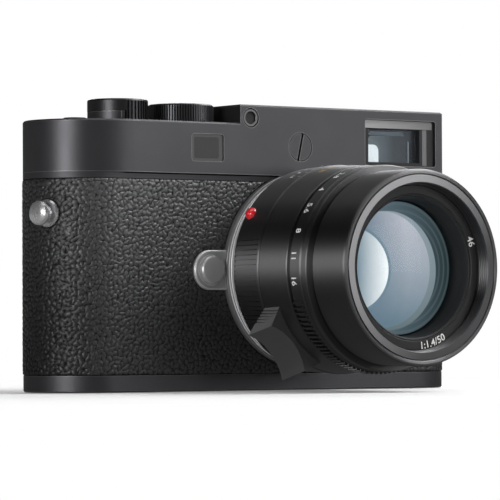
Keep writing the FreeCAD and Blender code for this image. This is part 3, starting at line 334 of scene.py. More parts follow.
def pane(name, tint, mirror, rough):
    """Coated glass: see-through with a tint, and a mirror share that grows at a slant."""
    look = Look(name)
    smudge = look.noise(scale=0.25, detail=4, rough=0.6, distort=0.5)
    clear = look.add("ShaderNodeBsdfTransparent", tint)
    gloss = look.add("ShaderNodeBsdfGlossy", (0.86 * mirror, 0.9 * mirror, 1.0 * mirror),
                     look.spread(smudge, rough * 0.6, rough * 1.8))
    slant = look.add("ShaderNodeLayerWeight", 0.25).outputs["Facing"]
    share = look.line(look.math("POWER", slant, 3.0), slope=0.3, offset=0.03, clamp=True)
    both = look.add("ShaderNodeMixShader", share, clear.outputs[0], gloss.outputs[0])
    look.surface(both)
    return look


def painted_glow(name, tone, glow, rough=0.35, gradient=None):
    """Painted light: a faintly glowing tone. Gradient is (start X, end X, tone at the end), a
    painted change of light along X.
    """
    look = Look(name)
    fine = look.noise(scale=2.0, detail=3)
    colour = look.mix(fine, shade(tone, 0.85), tone)
    if gradient:
        start, end, far_tone = gradient
        colour = look.mix(look.rise(look.x, start, end), colour, far_tone)
    look.set(color=colour, rough=look.spread(fine, rough - 0.08, rough + 0.08),
             glow=colour, glow_power=glow)
    look.bump(fine, depth=0.001)
    return look


# ------------------------------------------------------------------ single finishes
def casting_look():
    """Blacked casting with a painted shadow line under the top cover's lip."""
    look = Look("casting_black")
    # painted shadow: near-black just under the top cover's lip
    under_lip = look.math("GREATER_THAN", look.z, COVER_LOW[2] - 0.38)
    lip_shadow = look.times(under_lip, look.between(look.x, 1.5 - END_X, END_X - 1.5, soft=3.0))
    plain = look.mix(look.noise(scale=6.0), (0.056, 0.056, 0.06), (0.07, 0.07, 0.075))
    colour = look.mix(lip_shadow, plain, (0.003, 0.003, 0.003))
    satin_surface(look, colour, look.noise(scale=6.0), rough=0.45)
    return look


def chrome_look():
    """Bright turned flange with painted shade in one grooved ring near the mount plane."""
    look = Look("chrome_flange")
    marks = look.turned(fine=6.0)
    # painted shade: near-black where the flange is grooved near the mount plane
    groove_shade = look.between(look.y, MOUNT_Y - 0.95, MOUNT_Y - 0.58, soft=0.05)
    colour = turned_colour(look, marks, (0.90, 0.90, 0.91))
    colour = look.mix(groove_shade, colour, (0.05, 0.05, 0.052))
    turned_surface(look, colour, marks, rough=0.22, metal=0.38, depth=0.002)
    return look


def front_barrel_look():
    """Black tube with a brushed face round the thread; the face carries painted light and shade."""
    look = Look("front_barrel_two_tone")
    dx, dz, radius = look.from_lens_axis()
    reach = 24.0  # offset over which the face's tone shifts
    # painted highlight and shade: the face is pale upward and toward -X, dark downward and toward
    # +X
    lit_side = look.plus(look.line(dx, slope=-0.63 / reach, offset=0.5),
                    look.times(dz, 0.5 / reach), clamp=True)
    face = look.times(look.between(radius, 23.12, 25.06, soft=0.04),
                      look.math("LESS_THAN", look.y, RIM_Y + 0.22))
    marks = look.turned(fine=14.0)
    pitch = 0.75
    thread = look.times(look.math("LESS_THAN", radius, 23.06),
                        look.math("SINE", look.times(look.y, 2 * math.pi / pitch)))
    tube = look.mix(look.noise(scale=0.08), (0.115, 0.115, 0.118), (0.13, 0.13, 0.133))
    dark = look.mix(marks, (0.055, 0.055, 0.057), (0.07, 0.07, 0.072))
    pale = look.mix(marks, (0.20, 0.20, 0.205), (0.27, 0.27, 0.275))
    look.set(color=look.mix(face, tube, look.mix(lit_side, dark, pale)), metal=1.0,
             rough=look.plus(look.spread(face, 0.40, 0.34), look.times(marks, 0.06)))
    draw_out(look, look.line(face, slope=-0.7, offset=0.95))
    look.bump(marks, depth=0.002)
    look.bump(thread, depth=0.12)
    return look


def focus_tab_look():
    """Black, with a painted highlight on the facet that looks toward -X and up; that facet is also
    less metallic.
    """
    look = Look("tab_black")
    marks = look.turned(fine=5.0)
    facing = look.dot(look.coords.outputs["Normal"], (-0.82, 0.0, 0.57))
    # painted highlight: paler on the facet that faces toward -X and up
    lit_facet = look.ramp(facing, (0.93, 0.0), (0.985, 1.0))
    pale = look.mix(look.noise(scale=6.0, detail=3), (0.115, 0.115, 0.118), (0.145, 0.145, 0.148))
    colour = look.mix(lit_facet, (0.082, 0.082, 0.085), pale)
    metal = look.spread(lit_facet, 0.55, 0.25)
    turned_surface(look, colour, marks, rough=0.36, metal=metal, depth=0.004)
    return look


def name_ring_look():
    """Matt black with fine concentric steps inside the lettering."""
    look = Look("name_ring_black")
    radius = look.from_lens_axis()[2]
    marks = look.turned(fine=12.0)
    pitch, reach = 0.5, 20.0
    steps = look.math("SINE", look.times(radius, 2 * math.pi / pitch))
    look.set(color=look.mix(marks, (0.013, 0.013, 0.0135), (0.021, 0.021, 0.022)),
             rough=look.spread(marks, 0.45, 0.6), spec=0.3)
    look.bump(marks, depth=0.006)
    look.bump(look.times(steps, look.math("LESS_THAN", radius, reach)), depth=0.05)
    return look


def leather_look():
    """Dark leather. Large cells come from the mesh, pores and creases from the nodes."""
    look = Look("leather_pebbled")
    height = look.add("ShaderNodeAttribute", attribute_name="grain").outputs["Fac"]
    crease = look.math("SUBTRACT", look.cells(1.5, "F2"), look.cells(1.5))
    top = look.mix(look.noise(scale=0.06, detail=3), (0.024, 0.024, 0.026), (0.036, 0.036, 0.039))
    # painted light and shade: paler and shinier toward the top edge, darker and duller round the
    # ends
    upward = look.rise(look.z, 18.0, 64.0)
    off_ends = look.rise(look.math("ABSOLUTE", look.x),
                         END_X + 0.9 * END_RADIUS, END_X + 0.4 * END_RADIUS)
    light_falloff = look.times(look.line(upward, slope=0.6, offset=0.62),
                       look.line(off_ends, slope=0.5, offset=0.5))
    # painted shade: the pebble colour darkens toward the bottom and round the ends
    top = look.mix(light_falloff, (0.0, 0.0, 0.0), top)
    # painted shade: near-black colour in the creases between pebbles
    crease_shade = (0.0045, 0.0045, 0.005)
    look.set(color=look.mix(look.ramp(height, (0.0, 0.0), (0.6, 1.0)), crease_shade, top),
             rough=look.plus(look.ramp(height, (0.0, 0.7), (0.8, 0.29)),
                             look.times(look.noise(scale=1.7, detail=3), 0.1)),
             spec=look.times(light_falloff, look.ramp(height, (0.0, 0.1), (0.6, 1.0))))
    look.bump(look.ramp(crease, (0.0, 0.0), (0.25, 1.0)), depth=0.05, strength=0.5)
    look.bump(look.cells(3.2), depth=0.015, strength=0.5)
    look.bump(look.noise(scale=7.0), depth=0.015)
    return look


def enamel_look():
    look = Look("red_enamel")
    look.set(color=look.mix(look.noise(scale=0.8), (0.55, 0.012, 0.02), (0.72, 0.02, 0.03)),
             rough=look.spread(look.noise(scale=2.0), 0.06, 0.14), coat=1.0, coat_rough=0.04)
    look.bump(look.noise(scale=1.2), depth=0.01)
    return look


def screen_look():
    """Near-black glass with a slightly paler picture area."""
    look = Look("screen_face")
    low, high = mm_box("screen_glass")
    area = look.times(look.between(look.x, low[0] + 2.2, high[0] - 4.2, soft=0.1),
                      look.between(look.z, low[2] + 2.0, high[2] - 2.0, soft=0.1))
    smudge = look.noise(scale=0.09, detail=4, rough=0.6, distort=0.8)
    look.set(color=look.mix(area, (0.004, 0.004, 0.0045), (0.011, 0.012, 0.015)),
             rough=look.spread(smudge, 0.03, 0.12), coat=0.6, coat_rough=0.03)
    look.bump(smudge, depth=0.004)
    return look


# ------------------------------------------------------------------ finishes of the CAD pieces
leather = leather_look()
white_fill = paint("white_fill", (0.82, 0.82, 0.80))
grey_fill = paint("grey_fill", (0.11, 0.11, 0.11))
yellow_fill = paint("yellow_fill", (0.75, 0.42, 0.03))

# look, and the CAD pieces that wear it
FINISHES = [
    (casting_look(), "body_casting"),
    (satin("cover_black", (0.068, 0.067, 0.072), rough=0.40, edge=(0.20, 0.20, 0.205)),
     "top_cover cover_disc accessory_shoe"),
    (satin("base_black", (0.066, 0.065, 0.070), rough=0.43, edge=(0.13, 0.13, 0.135)),
     "base_cover"),
    (lens_metal("lens_black"), "lens_barrel lens_hood"),
    (lens_metal("ring_black"),
     "frame_lever eyepiece_ring focus_ring focus_carrier aperture_ring"),
    (chrome_look(), "lens_bayonet"),
    (turned_metal("mount_satin", (0.22, 0.22, 0.225), rough=0.34, metal=0.6, fine=5.0),
     "mount_ring"),
    (satin("steel_satin", (0.44, 0.44, 0.445), rough=0.38, metal=0.62, grain=9.0, depth=0.004,
           edge=(0.95, 0.95, 0.95)),
     "release_escutcheon release_button"),
    (satin("lug_steel", (0.50, 0.50, 0.51), rough=0.24, metal=0.75, grain=3.0, depth=0.002),
     "strap_lugs"),
    (satin("dull_steel", (0.11, 0.11, 0.112), rough=0.34, metal=1.0, grain=9.0, depth=0.003),
     "sensor_ring"),
    (satin("bright_steel", (0.62, 0.62, 0.63), rough=0.26, metal=1.0, grain=8.0, depth=0.003),
     "small_screws locking_pin release_spring thumb_wheel_carrier pad_gimbal usb_port"
     " base_screws"),
    (moulded("key_black", (0.018, 0.018, 0.019), rough=0.42),
     "function_button direction_pad centre_button play_button menu_button"
     " rear_function_button battery_latch"),
    (moulded("inner_black", (0.008, 0.008, 0.009), rough=0.65),
     "finder_frame rangefinder_optics sensor_window screen_module shutter_unit iris_unit"),
    (turned_metal("brass_part", (0.62, 0.44, 0.19), rough=0.32), "tripod_bush follower_arm"),
    (moulded("board_green", (0.012, 0.06, 0.03), rough=0.5, grain=1.5), "main_board"),
    (moulded("cell_skin", (0.022, 0.022, 0.024), rough=0.5), "battery"),
    (dial_metal("dial_power", "power_switch_collar", tone=(0.044, 0.044, 0.047), depth=0.01),
     "power_switch_collar shutter_button"),
    (dial_metal("dial_speed", "speed_dial"), "speed_dial thumb_wheel"),
    (dial_metal("dial_iso", "iso_dial"), "iso_lift_core iso_dial"),
    (front_barrel_look(), "front_barrel"),
    (focus_tab_look(), "focus_tab"),
    (name_ring_look(), "name_ring"),
    (leather, "leather_covering"),
    (enamel_look(), "index_bead"),
    (pane("window_pane", (0.90, 0.93, 0.95), mirror=0.22, rough=0.13),
     "finder_glass eyepiece_lens"),
    (pane("patch_pane", (0.70, 0.70, 0.68), mirror=0.08, rough=0.13),
     "patch_glass image_sensor"),
    (pane("lens_pane", (0.95, 0.99, 1.0), mirror=0.22, rough=0.02), "front_glass rear_glass"),
    (screen_look(), "screen_glass"),
]
look_of = {node: look for look, nodes in FINISHES for node in nodes.split()}
for node, cad_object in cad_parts.items():
    slots = cad_object.data.materials
    if not slots:
        slots.append(look_of[node].material)
    for i in range(len(slots)):
        slots[i] = look_of[node].material


# ------------------------------------------------------------------ mesh helpers
def piece(name, points, faces, look, body, smooth=False):
    mesh = bpy.data.meshes.new(name)
    mesh.from_pydata((np.asarray(points, float) * MM).tolist(), [], faces)
    mesh.update()
    if smooth:
        mesh.polygons.foreach_set("use_smooth", [True] * len(mesh.polygons))
    made = bpy.data.objects.new(name, mesh)
    bpy.context.scene.collection.objects.link(made)
    mesh.materials.append(look.material)
    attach(made, body)


def letters(text, height, stretch=1.0):
    """Flat figures as (points, faces), centred."""
    curve = bpy.data.curves.new("figures", "FONT")
    curve.body = text
    curve.size = 1.0
    curve.offset = 0.012  # thickens the strokes
    curve.resolution_u = 3
    holder = bpy.data.objects.new("figures", curve)
    bpy.context.scene.collection.objects.link(holder)
    bpy.context.view_layer.update()
    evaluated = holder.evaluated_get(bpy.context.evaluated_depsgraph_get())
    mesh = bpy.data.meshes.new_from_object(evaluated)
    points = np.array([v.co[:2] for v in mesh.vertices], float)
    faces = [tuple(p.vertices) for p in mesh.polygons]
    bpy.data.objects.remove(holder)
    bpy.data.curves.remove(curve)
    bpy.data.meshes.remove(mesh)
    low, high = points.min(0), points.max(0)
    points = (points - (low + high) / 2) * (height / (high[1] - low[1]))
    points[:, 0] *= stretch
    return points, faces


def bar(width, height):
    points = [(x, y) for x in (-width / 2, width / 2) for y in (-height / 2, height / 2)]
    return np.array(points), [(0, 2, 3, 1)]


def on_barrel(shape, radius, turn, depth):
    """Laid on a cylinder round the lens axis, depth in front of the mount. Tops face front."""
    points, faces = shape
    angle = math.radians(turn) + points[:, 0] / radius
    return np.stack([LENS_X + radius * np.cos(angle), MOUNT_Y - (depth + points[:, 1]),
                     LENS_Z + radius * np.sin(angle)], 1), faces


def on_ring_face(shape, radius, turn, y, inward):
    """Laid on a flat ring face round the lens axis, tops inward or outward."""
    points, faces = shape
    sign = 1.0 if inward else -1.0
    angle = math.radians(turn) + sign * points[:, 0] / radius
    r = radius - sign * points[:, 1]
    return np.stack([LENS_X + r * np.cos(angle), np.full(len(points), y),
                     LENS_Z + r * np.sin(angle)], 1), faces


def on_post(shape, middle, radius, turn, z):
    """Laid on the side of an upright post."""
    points, faces = shape
    angle = math.radians(turn) + points[:, 0] / radius
    return np.stack([middle[0] + radius * np.cos(angle), middle[1] + radius * np.sin(angle),
                     z + points[:, 1]], 1), faces


def on_top(shape, middle, radius, turn, z):
    """Laid on a flat top at a radius, tops outward."""
    points, faces = shape
    angle = math.radians(turn)
    out = np.array([math.cos(angle), math.sin(angle)])
    side = np.array([math.sin(angle), -math.cos(angle)])
    xy = middle[:2] + (radius + points[:, 1:2]) * out + points[:, 0:1] * side
    return np.column_stack([xy, np.full(len(points), z)]), faces


def printed(name, shapes, look, body):
    """Several laid figures as one piece."""
    points, faces = [], []
    for shape_points, shape_faces in shapes:
        faces += [tuple(i + len(points) for i in face) for face in shape_faces]
        points += shape_points.tolist()
    piece(name, points, faces, look, body)


# ------------------------------------------------------------------ figures
APERTURES = ["1.4", "2", "2.8", "4", "5.6", "8", "11", "16"]
printed("aperture_figures", [
    on_barrel(letters(text, 2.1, stretch=0.98), radius=28.49, turn=88.2 + 14.2 * i, depth=32.0)
    for i, text in enumerate(APERTURES)], white_fill, "aperture")

# a middle line, then pairs of figure and tick on both sides of it
DEPTH_RADIUS, DEPTH_TURN, TICK_DEPTH = 29.235, 102.4, 15.4
DEPTH_OFFSETS = [("16", 16.0), ("8", 10.6), ("4", 5.6)]  # figure, degrees from the line
shapes = [on_barrel(bar(0.16, 1.5), DEPTH_RADIUS, DEPTH_TURN, TICK_DEPTH)]
for text, offset in DEPTH_OFFSETS:
    for side in (-1, 1):
        turn = DEPTH_TURN + side * offset
        shapes.append(on_barrel(letters(text, 1.35, stretch=0.9), DEPTH_RADIUS, turn, depth=12.2))
        shapes.append(on_barrel(bar(0.12, 1.3), DEPTH_RADIUS, turn, TICK_DEPTH))
printed("depth_scale", shapes, white_fill, "camera_body")

# figure, degrees back from the zero of the focus scale
FEET = [("25", -3.0), ("15", 3.2), ("10", 15.0), ("7", 26.0), ("5", 36.0)]
METRES = [("5", 12.0), ("3", 22.0), ("2", 32.0)]
FOCUS_ZERO, FOCUS_RADIUS = 108.0, 29.035
for name, scale, height, stretch, depth, fill in (
        ("distance_feet", FEET, 1.75, 0.95, 21.4, yellow_fill),
        ("distance_metres", METRES, 1.6, 0.92, 25.6, white_fill)):
    printed(name, [on_barrel(letters(text, height, stretch), FOCUS_RADIUS, FOCUS_ZERO - back, depth)
                   for text, back in scale], fill, "focus")

RING_FACE_Y = MOUNT_Y - 48.93
printed("ring_figures", [
    on_ring_face(letters("1:1.4/50", 2.05), radius=21.3, turn=-72.5, y=RING_FACE_Y, inward=True),
    on_ring_face(letters("46", 2.15), radius=21.2, turn=20.3, y=RING_FACE_Y, inward=False),
], white_fill, "optics")

SPEEDS = ["1", "2", "4", "8", "15", "30", "60", "125", "250", "500", "1000", "2000"]
ISO_STEPS = ["0", "1", "2", "3", "4", "5", "6", "7"]
# name, dial, figures, height, stretch, radius, degrees between figures
DIAL_FIGURES = [
    ("speed_figures", "speed_dial", SPEEDS, 1.15, 0.85, 6.9, 26.0),
    ("iso_figures", "iso_dial", ISO_STEPS, 1.1, 0.9, 4.4, 40.0),
]
for name, dial, texts, height, stretch, radius, pitch in DIAL_FIGURES:
    top = mm_box(dial)[1][2] + 0.03
    printed(name, [on_top(letters(text, height, stretch), centre(dial), radius, 90 - pitch * i, top)
                   for i, text in enumerate(texts)], white_fill, dial)

power_bar = on_post(bar(0.34, 1.9), middle=(-44.0, -4.0), radius=8.5, turn=243.5, z=76.35)
printed("power_mark", [power_bar], grey_fill, "camera_body")

# ------------------------------------------------------------------ leather sheet
# Places on the sheet are (run, z). The run starts at the -X end of the front flat, goes along
# the front, round the +X end, back along the rear flat and round the -X end.
FLAT = 2 * END_X
HALF_AROUND = FLAT + math.pi * END_RADIUS
AROUND = 2 * HALF_AROUND
BOTTOM, TOP = SKIN_LOW[2], SKIN_HIGH[2]

# round openings: X, Z, radius
SLOT_X, SLOT_Z, SLOT_RADIUS = -22.1, 33.6, 5.63
FRONT_HOLES = [(LENS_X, LENS_Z, 27.78), (SLOT_X, SLOT_Z, SLOT_RADIUS),
               (LENS_X + 33, LENS_Z + 11, 3.6)]
REAR_HOLES = [(-34, 24, 10.1), (-45, 43.5, 3.8), (-34, 43.5, 3.8), (-23, 43.5, 3.8)]
# rounded opening for the screen
SCREEN_X, SCREEN_Z, SCREEN_HALF_X, SCREEN_HALF_Z, SCREEN_CORNER = 20.5, 31.5, 34.3, 22.8, 2.2
# round openings for the strap lugs, turned toward the front from the body's ends
LUG_TURN, LUG_Z, LUG_RADIUS = math.radians(20), 48.95, 3.85

PEBBLE = 1.36          # seed spacing in Z
PEBBLE_LENGTH = 1.22   # seed spacing along the run, as a share of PEBBLE
JITTER = 0.39          # greatest seed shift, as a share of the spacing
WOBBLE = 0.42          # bending of the cell walls
CREASE_WIDTH = 0.46
DOME_RADIUS = 0.95
TUCK = 0.22            # distance over which the sheet dips at an edge
SKIRT = 0.4            # drop of the walls at the edges


def outline(run):
    """Place and outward direction, each X and Y, for a run round the body."""
    run = np.mod(run, AROUND)
    rear = run >= HALF_AROUND
    side = np.where(rear, 1.0, -1.0)
    along = np.where(rear, run - HALF_AROUND, run)
    turn = np.maximum(along - FLAT, 0) / END_RADIUS
    out = np.stack([-side * np.sin(turn), side * np.cos(turn)], -1)
    place = out * END_RADIUS
    place[..., 0] += side * (END_X - np.minimum(along, FLAT))
    return place, out


def gap(run, z):
    """Distance outside the nearest opening, negative inside it."""
    place, _ = outline(run)
    x, y = place[..., 0], place[..., 1]
    front, rear = y < 3 - END_RADIUS, y > END_RADIUS - 3
    cuts = [(face, np.hypot(x - hole_x, z - hole_z) - radius)
            for face, holes in ((front, FRONT_HOLES), (rear, REAR_HOLES))
            for hole_x, hole_z, radius in holes]
    # straight slot from the release hole into the lens opening
    slot = [SLOT_X - x, x - LENS_X, np.abs(z - SLOT_Z) - SLOT_RADIUS]
    cuts.append((front, np.maximum.reduce(slot)))
    across = np.abs(x - SCREEN_X) - (SCREEN_HALF_X - SCREEN_CORNER)
    up = np.abs(z - SCREEN_Z) - (SCREEN_HALF_Z - SCREEN_CORNER)
    cuts.append((rear, np.hypot(np.maximum(across, 0), np.maximum(up, 0))
                 + np.minimum(np.maximum(across, up), 0) - SCREEN_CORNER))
    for side in (-1, 1):
        axis_x, axis_y = side * math.cos(LUG_TURN), -math.sin(LUG_TURN)
        from_end = x - side * END_X
        across = y * axis_x - from_end * axis_y
        toward = from_end * axis_x + y * axis_y
        cuts.append((toward > 8, np.hypot(across, z - LUG_Z) - LUG_RADIUS))
    return np.minimum.reduce([np.where(face, distance, 99.0) for face, distance in cuts])


def wave(main, cross, a, b, c, d):
    return np.sin(main * a + np.sin(cross * b)) * 0.6 + np.sin(main * c + cross * d) * 0.4


def pebbles(run, z):
    """Grain from 0 in a crease to 1 on a pebble, the pebble's level, and its dome."""
    columns = int(round(AROUND / (PEBBLE * PEBBLE_LENGTH)))
    rows = int(round((TOP - BOTTOM) / PEBBLE)) + 4  # two spare rows below and two above
    pitch = AROUND / columns
    rng = np.random.default_rng(7)
    jitter = rng.uniform(-JITTER, JITTER, (columns, rows, 2))
    levels = rng.uniform(0, 1, (columns, rows))
    bent_run = run + WOBBLE * wave(z, run, 1.31, 0.37, 2.9, 1.7)
    bent_z = z + WOBBLE * wave(run, z, 1.17, 0.41, 2.6, -1.9)
    column = np.floor(bent_run / pitch).astype(int)
    row = np.floor((bent_z - BOTTOM) / PEBBLE).astype(int) + 2
    nearest = np.full(run.shape, 9.0)
    second = np.full(run.shape, 9.0)
    level = np.zeros(run.shape)
    for i in (-1, 0, 1):
        for j in (-1, 0, 1):
            wrapped, held = np.mod(column + i, columns), np.clip(row + j, 0, rows - 1)
            shift = jitter[wrapped, held]
            seed_run = (column + i + 0.5 + shift[..., 0]) * pitch
            seed_z = (row + j - 2 + 0.5 + shift[..., 1]) * PEBBLE + BOTTOM
            distance = np.hypot(bent_run - seed_run, bent_z - seed_z)
            closer = distance < nearest
            second = np.where(closer, nearest, np.minimum(second, distance))
            level = np.where(closer, levels[wrapped, held], level)
            nearest = np.where(closer, distance, nearest)
    part = np.clip((second - nearest) / CREASE_WIDTH, 0, 1)
    dome = np.clip(1 - (nearest / DOME_RADIUS) ** 2, 0, 1)
    return part * part * (3 - 2 * part), level, dome


def open_edges(quads, point_count):
    """Edges that belong to one quad only, in that quad's direction."""
    edges = np.concatenate([quads[:, [i, (i + 1) % 4]] for i in range(4)])
    ordered = np.sort(edges, 1)
    code = ordered[:, 0].astype(np.int64) * point_count + ordered[:, 1]
    _, first, count = np.unique(code, return_index=True, return_counts=True)
    return edges[first[count == 1]]


def leather_grid(step):
    """Points, quads and grain values of the sheet."""
    count, levels = int(AROUND / step), int((TOP - BOTTOM) / step)
    pitch = AROUND / count
    run, z = np.meshgrid(np.arange(count) * pitch, np.linspace(BOTTOM, TOP, levels + 1),
                         indexing="ij")
    # pull the points near an opening onto its edge
    distance = gap(run, z)
    e = 0.02
    slope_run = (gap(run + e, z) - gap(run - e, z)) / (2 * e)
    slope_z = (gap(run, z + e) - gap(run, z - e)) / (2 * e)
    steep = np.maximum(slope_run * slope_run + slope_z * slope_z, 1e-6)
    reach = 0.62 * pitch
    near, gone = np.abs(distance) <= reach, distance < -reach
    pulled_run = np.where(near, run - distance * slope_run / steep, run)
    pulled_z = np.where(near, z - distance * slope_z / steep, z)
    run, z = np.clip(pulled_run, run - pitch, run + pitch), np.clip(pulled_z, BOTTOM, TOP)

    grain, level, dome = pebbles(run, z)
    to_edge = np.minimum.reduce([np.where(gone, 9, np.abs(gap(run, z))), z - BOTTOM, TOP - z])
    tuck = 1 - np.exp(-to_edge / TUCK)
    lift = (0.24 * grain * (0.8 + 0.2 * level) + 0.05 * dome) * tuck - 0.16 * (1 - tuck) - 0.06
    place, out = outline(run)
    points = np.concatenate([place + out * lift[..., None], z[..., None]], -1).reshape(-1, 3)
    normals = np.concatenate([out, np.zeros((*z.shape, 1))], -1).reshape(-1, 3)

    index = np.arange(count * (levels + 1)).reshape(count, levels + 1)
    following = np.roll(index, -1, axis=0)
    quads = np.stack([index[:, :-1], following[:, :-1], following[:, 1:], index[:, 1:]], -1)
    quads = quads.reshape(-1, 4)
    quads = quads[~gone.reshape(-1)[quads].any(1)]

    # walls down into the openings and along the top and bottom
    edges = open_edges(quads, len(points))
    edge_points = np.unique(edges)
    below = np.full(len(points), -1)
    below[edge_points] = len(points) + np.arange(len(edge_points))
    points = np.concatenate([points, points[edge_points] - normals[edge_points] * SKIRT])
    walls = np.stack([edges[:, 1], edges[:, 0], below[edges[:, 0]], below[edges[:, 1]]], 1)
    faces = np.concatenate([quads, walls])
    # where the sheet tucks in at its edges the grain value falls to 0, so the leather colour there
    # turns to the painted crease shade
    values = np.concatenate([(grain * tuck).reshape(-1), np.zeros(len(edge_points))])

    # drop the points no face uses
    used = np.unique(faces)
    renumbered = np.full(len(points), -1)
    renumbered[used] = np.arange(len(used))
    return points[used], renumbered[faces], values[used]


def leather_sheet():
    points, faces, values = leather_grid(0.285)
    count = len(faces)
    mesh = bpy.data.meshes.new("leather_sheet")
    mesh.vertices.add(len(points))
    mesh.vertices.foreach_set("co", (points * MM).astype(np.float32).ravel())
    mesh.loops.add(count * 4)
    mesh.loops.foreach_set("vertex_index", faces.astype(np.int32).ravel())
    mesh.polygons.add(count)
    mesh.polygons.foreach_set("loop_start", np.arange(0, count * 4, 4, dtype=np.int32))
    mesh.polygons.foreach_set("loop_total", np.full(count, 4, dtype=np.int32))
    mesh.update(calc_edges=True)
    mesh.validate()
    mesh.polygons.foreach_set("use_smooth", [True] * len(mesh.polygons))
    grain = mesh.attributes.new("grain", "FLOAT", "POINT")
    grain.data.foreach_set("value", values.astype(np.float32))
    mesh.materials.append(leather.material)
    sheet = bpy.data.objects.new("leather_sheet", mesh)
    bpy.context.scene.collection.objects.link(sheet)
    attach(sheet, "camera_body")
    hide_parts("leather_covering")


leather_sheet()


# ------------------------------------------------------------------ finder and window interiors
def plate(name, edge, y, depth, look, bevel=0.0):
    """A flat plate with its edge in X and Z and its front face at y."""
    edge = np.array(edge, float)
    rows = [(edge, y)]
    if bevel:
        inward = edge.mean(0) - edge
        inward /= np.linalg.norm(inward, axis=1, keepdims=True)
        rows = [(edge + inward * bevel, y), (edge, y + bevel)]
    rows.append((edge, y + depth))
    points = np.concatenate([np.insert(row, 1, row_y, axis=1) for row, row_y in rows])
    n = len(edge)
    faces = [tuple(range(n))]
    for start in range(0, len(points) - n, n):
        for i in range(n):
            j = (i + 1) % n
            faces.append((start + i, start + n + i, start + n + j, start + j))
    faces.append(tuple(reversed(range(len(points) - n, len(points)))))
    piece(name, points, faces, look, "camera_body")


def round_rect(x0, x1, z0, z1, radius):
    """Radius is one, or four in the order -X low, +X low, +X high, -X high."""
    radii = radius if isinstance(radius, tuple) else (radius,) * 4
    # corner, direction inward, first angle
    corners = ((x0, z0, 1, 1, 180), (x1, z0, -1, 1, 270), (x1, z1, -1, -1, 0), (x0, z1, 1, -1, 90))
    steps = 6
    points = []
    for (x, z, in_x, in_z, start), r in zip(corners, radii):
        if r == 0:
            points.append((x, z))
            continue
        for i in range(steps + 1):
            angle = math.radians(start + 90 * i / steps)
            points.append((x + in_x * r + r * math.cos(angle), z + in_z * r + r * math.sin(angle)))
    return points


def strip_look():
    """Grey with painted shade that darkens it toward +X."""
    look = Look("finder_strip")
    along = look.rise(look.x, 32.0, 58.0)
    look.set(color=look.mix(along, (0.30, 0.30, 0.30), (0.12, 0.12, 0.12)), metal=0.2,
             rough=look.spread(look.noise(scale=4.0, detail=3), 0.35, 0.5))
    look.bump(look.noise(scale=6.0), depth=0.01)
    return look


def finder_front():
    """Strip along the top of the finder frame and upright bar near its +X end."""
    (x0, y, z0), (x1, _, z1) = mm_box("finder_frame")
    strip = round_rect(x0 + 0.25, x1 - 0.75, z1 - 2.35, z1 - 0.12, (0.12, 0.3, 0.8, 0.6))
    plate("finder_top_strip", strip, y - 0.09, 0.3, strip_look(), bevel=0.06)
    plate("finder_side_bar", round_rect(53.35, 54.95, z0 + 0.2, z1 - 2.45, 0.1), y - 0.05, 0.2,
          paint("finder_bar", (0.115, 0.115, 0.12), rough=0.45), bevel=0.04)


# X, Z of the element along the top of the finder window
UPPER_ELEMENT = [(36.3, 74.0), (35.4, 73.3), (35.9, 72.9), (48.6, 72.9), (48.2, 73.6), (47.6, 74.0)]


def finder_inside():
    """Elements seen through the finder window, glowing with painted light; the upper and lower
    elements carry painted gradients of light along X. Levels are measured behind the glass.
    """
    low = 65.0  # bottom of the standing elements
    # name, edge, level, depth, look
    elements = [
        ("finder_back_plate", round_rect(33.5, 52.5, 64.9, 74.7, 0.2), 0.6, 0.2,
         painted_glow("finder_back", (0.012, 0.0135, 0.015), glow=0.2)),
        ("finder_upper_element", UPPER_ELEMENT, 0.35, 0.15,
         painted_glow("finder_upper", (0.095, 0.115, 0.12), glow=0.3,
                gradient=(42.0, 49.5, (0.07, 0.08, 0.09)))),
        ("finder_lower_element", round_rect(34.75, 46.9, low, 72.75, (0, 0, 1.6, 2.2)), 0.35, 0.15,
         painted_glow("finder_lower", (0.15, 0.175, 0.18), glow=0.3,
                gradient=(35.5, 44.5, (0.016, 0.018, 0.020)))),
        # painted light: the bright view through the finder, as a pale glowing plate
        ("finder_lit_element", round_rect(34.8, 38.85, low, 70.15, (0, 0, 1.9, 0.15)), 0.2, 0.1,
         painted_glow("finder_lit", (0.86, 0.86, 0.85), glow=0.55)),
        ("finder_edge_line", round_rect(49.75, 50.15, low, 71.3, 0.15), 0.35, 0.15,
         painted_glow("finder_line", (0.19, 0.21, 0.22), glow=0.4)),
    ]
    glass_y = mm_box("finder_glass")[1][1]
    for name, edge, level, depth, look in elements:
        plate(name, edge, glass_y + level, depth, look)


def patch_window():
    """Two dark plates, one before the other, at the patch window, glowing with painted light."""
    (x0, _, z0), (x1, _, z1) = mm_box("patch_glass")
    y = COVER_LOW[1] + 0.36
    plate("patch_back_plate", round_rect(x0 + 0.02, x1 - 0.02, z0 + 0.02, z1 - 0.02, 0.35),
          y, 0.06, painted_glow("patch_olive", (0.024, 0.024, 0.0232), glow=0.5))
    plate("patch_inner_element", round_rect(x0 + 1.0, x1 - 1.4, z0 + 0.75, z1 - 0.75, 0.5),
          y - 0.06, 0.05, painted_glow("patch_inner", (0.0095, 0.0095, 0.0092), glow=0.5, rough=0.45),
          bevel=0.03)


finder_front()
finder_inside()
patch_window()


# ------------------------------------------------------------------ lens interior
def cap(name, radius, depth, bulge, look, rings=14, turns=96):
    """A shallow dome on the lens axis: rim at depth, apex further forward by the bulge."""
    points, faces = [], []
    for r in np.linspace(0.0, radius, rings + 1):
        y = MOUNT_Y - (depth + bulge * (1 - (r / radius) ** 2))
        for k in range(turns):
            angle = 2 * math.pi * k / turns
            points.append((LENS_X + r * math.cos(angle), y, LENS_Z + r * math.sin(angle)))
    for i in range(rings):
        for k in range(turns):
            a, b = i * turns + k, i * turns + (k + 1) % turns
            face = (a, a + turns, b + turns, b)
            faces.append(face[:3] if i == 0 else face)
    piece(name, points, faces, look, "optics", smooth=True)


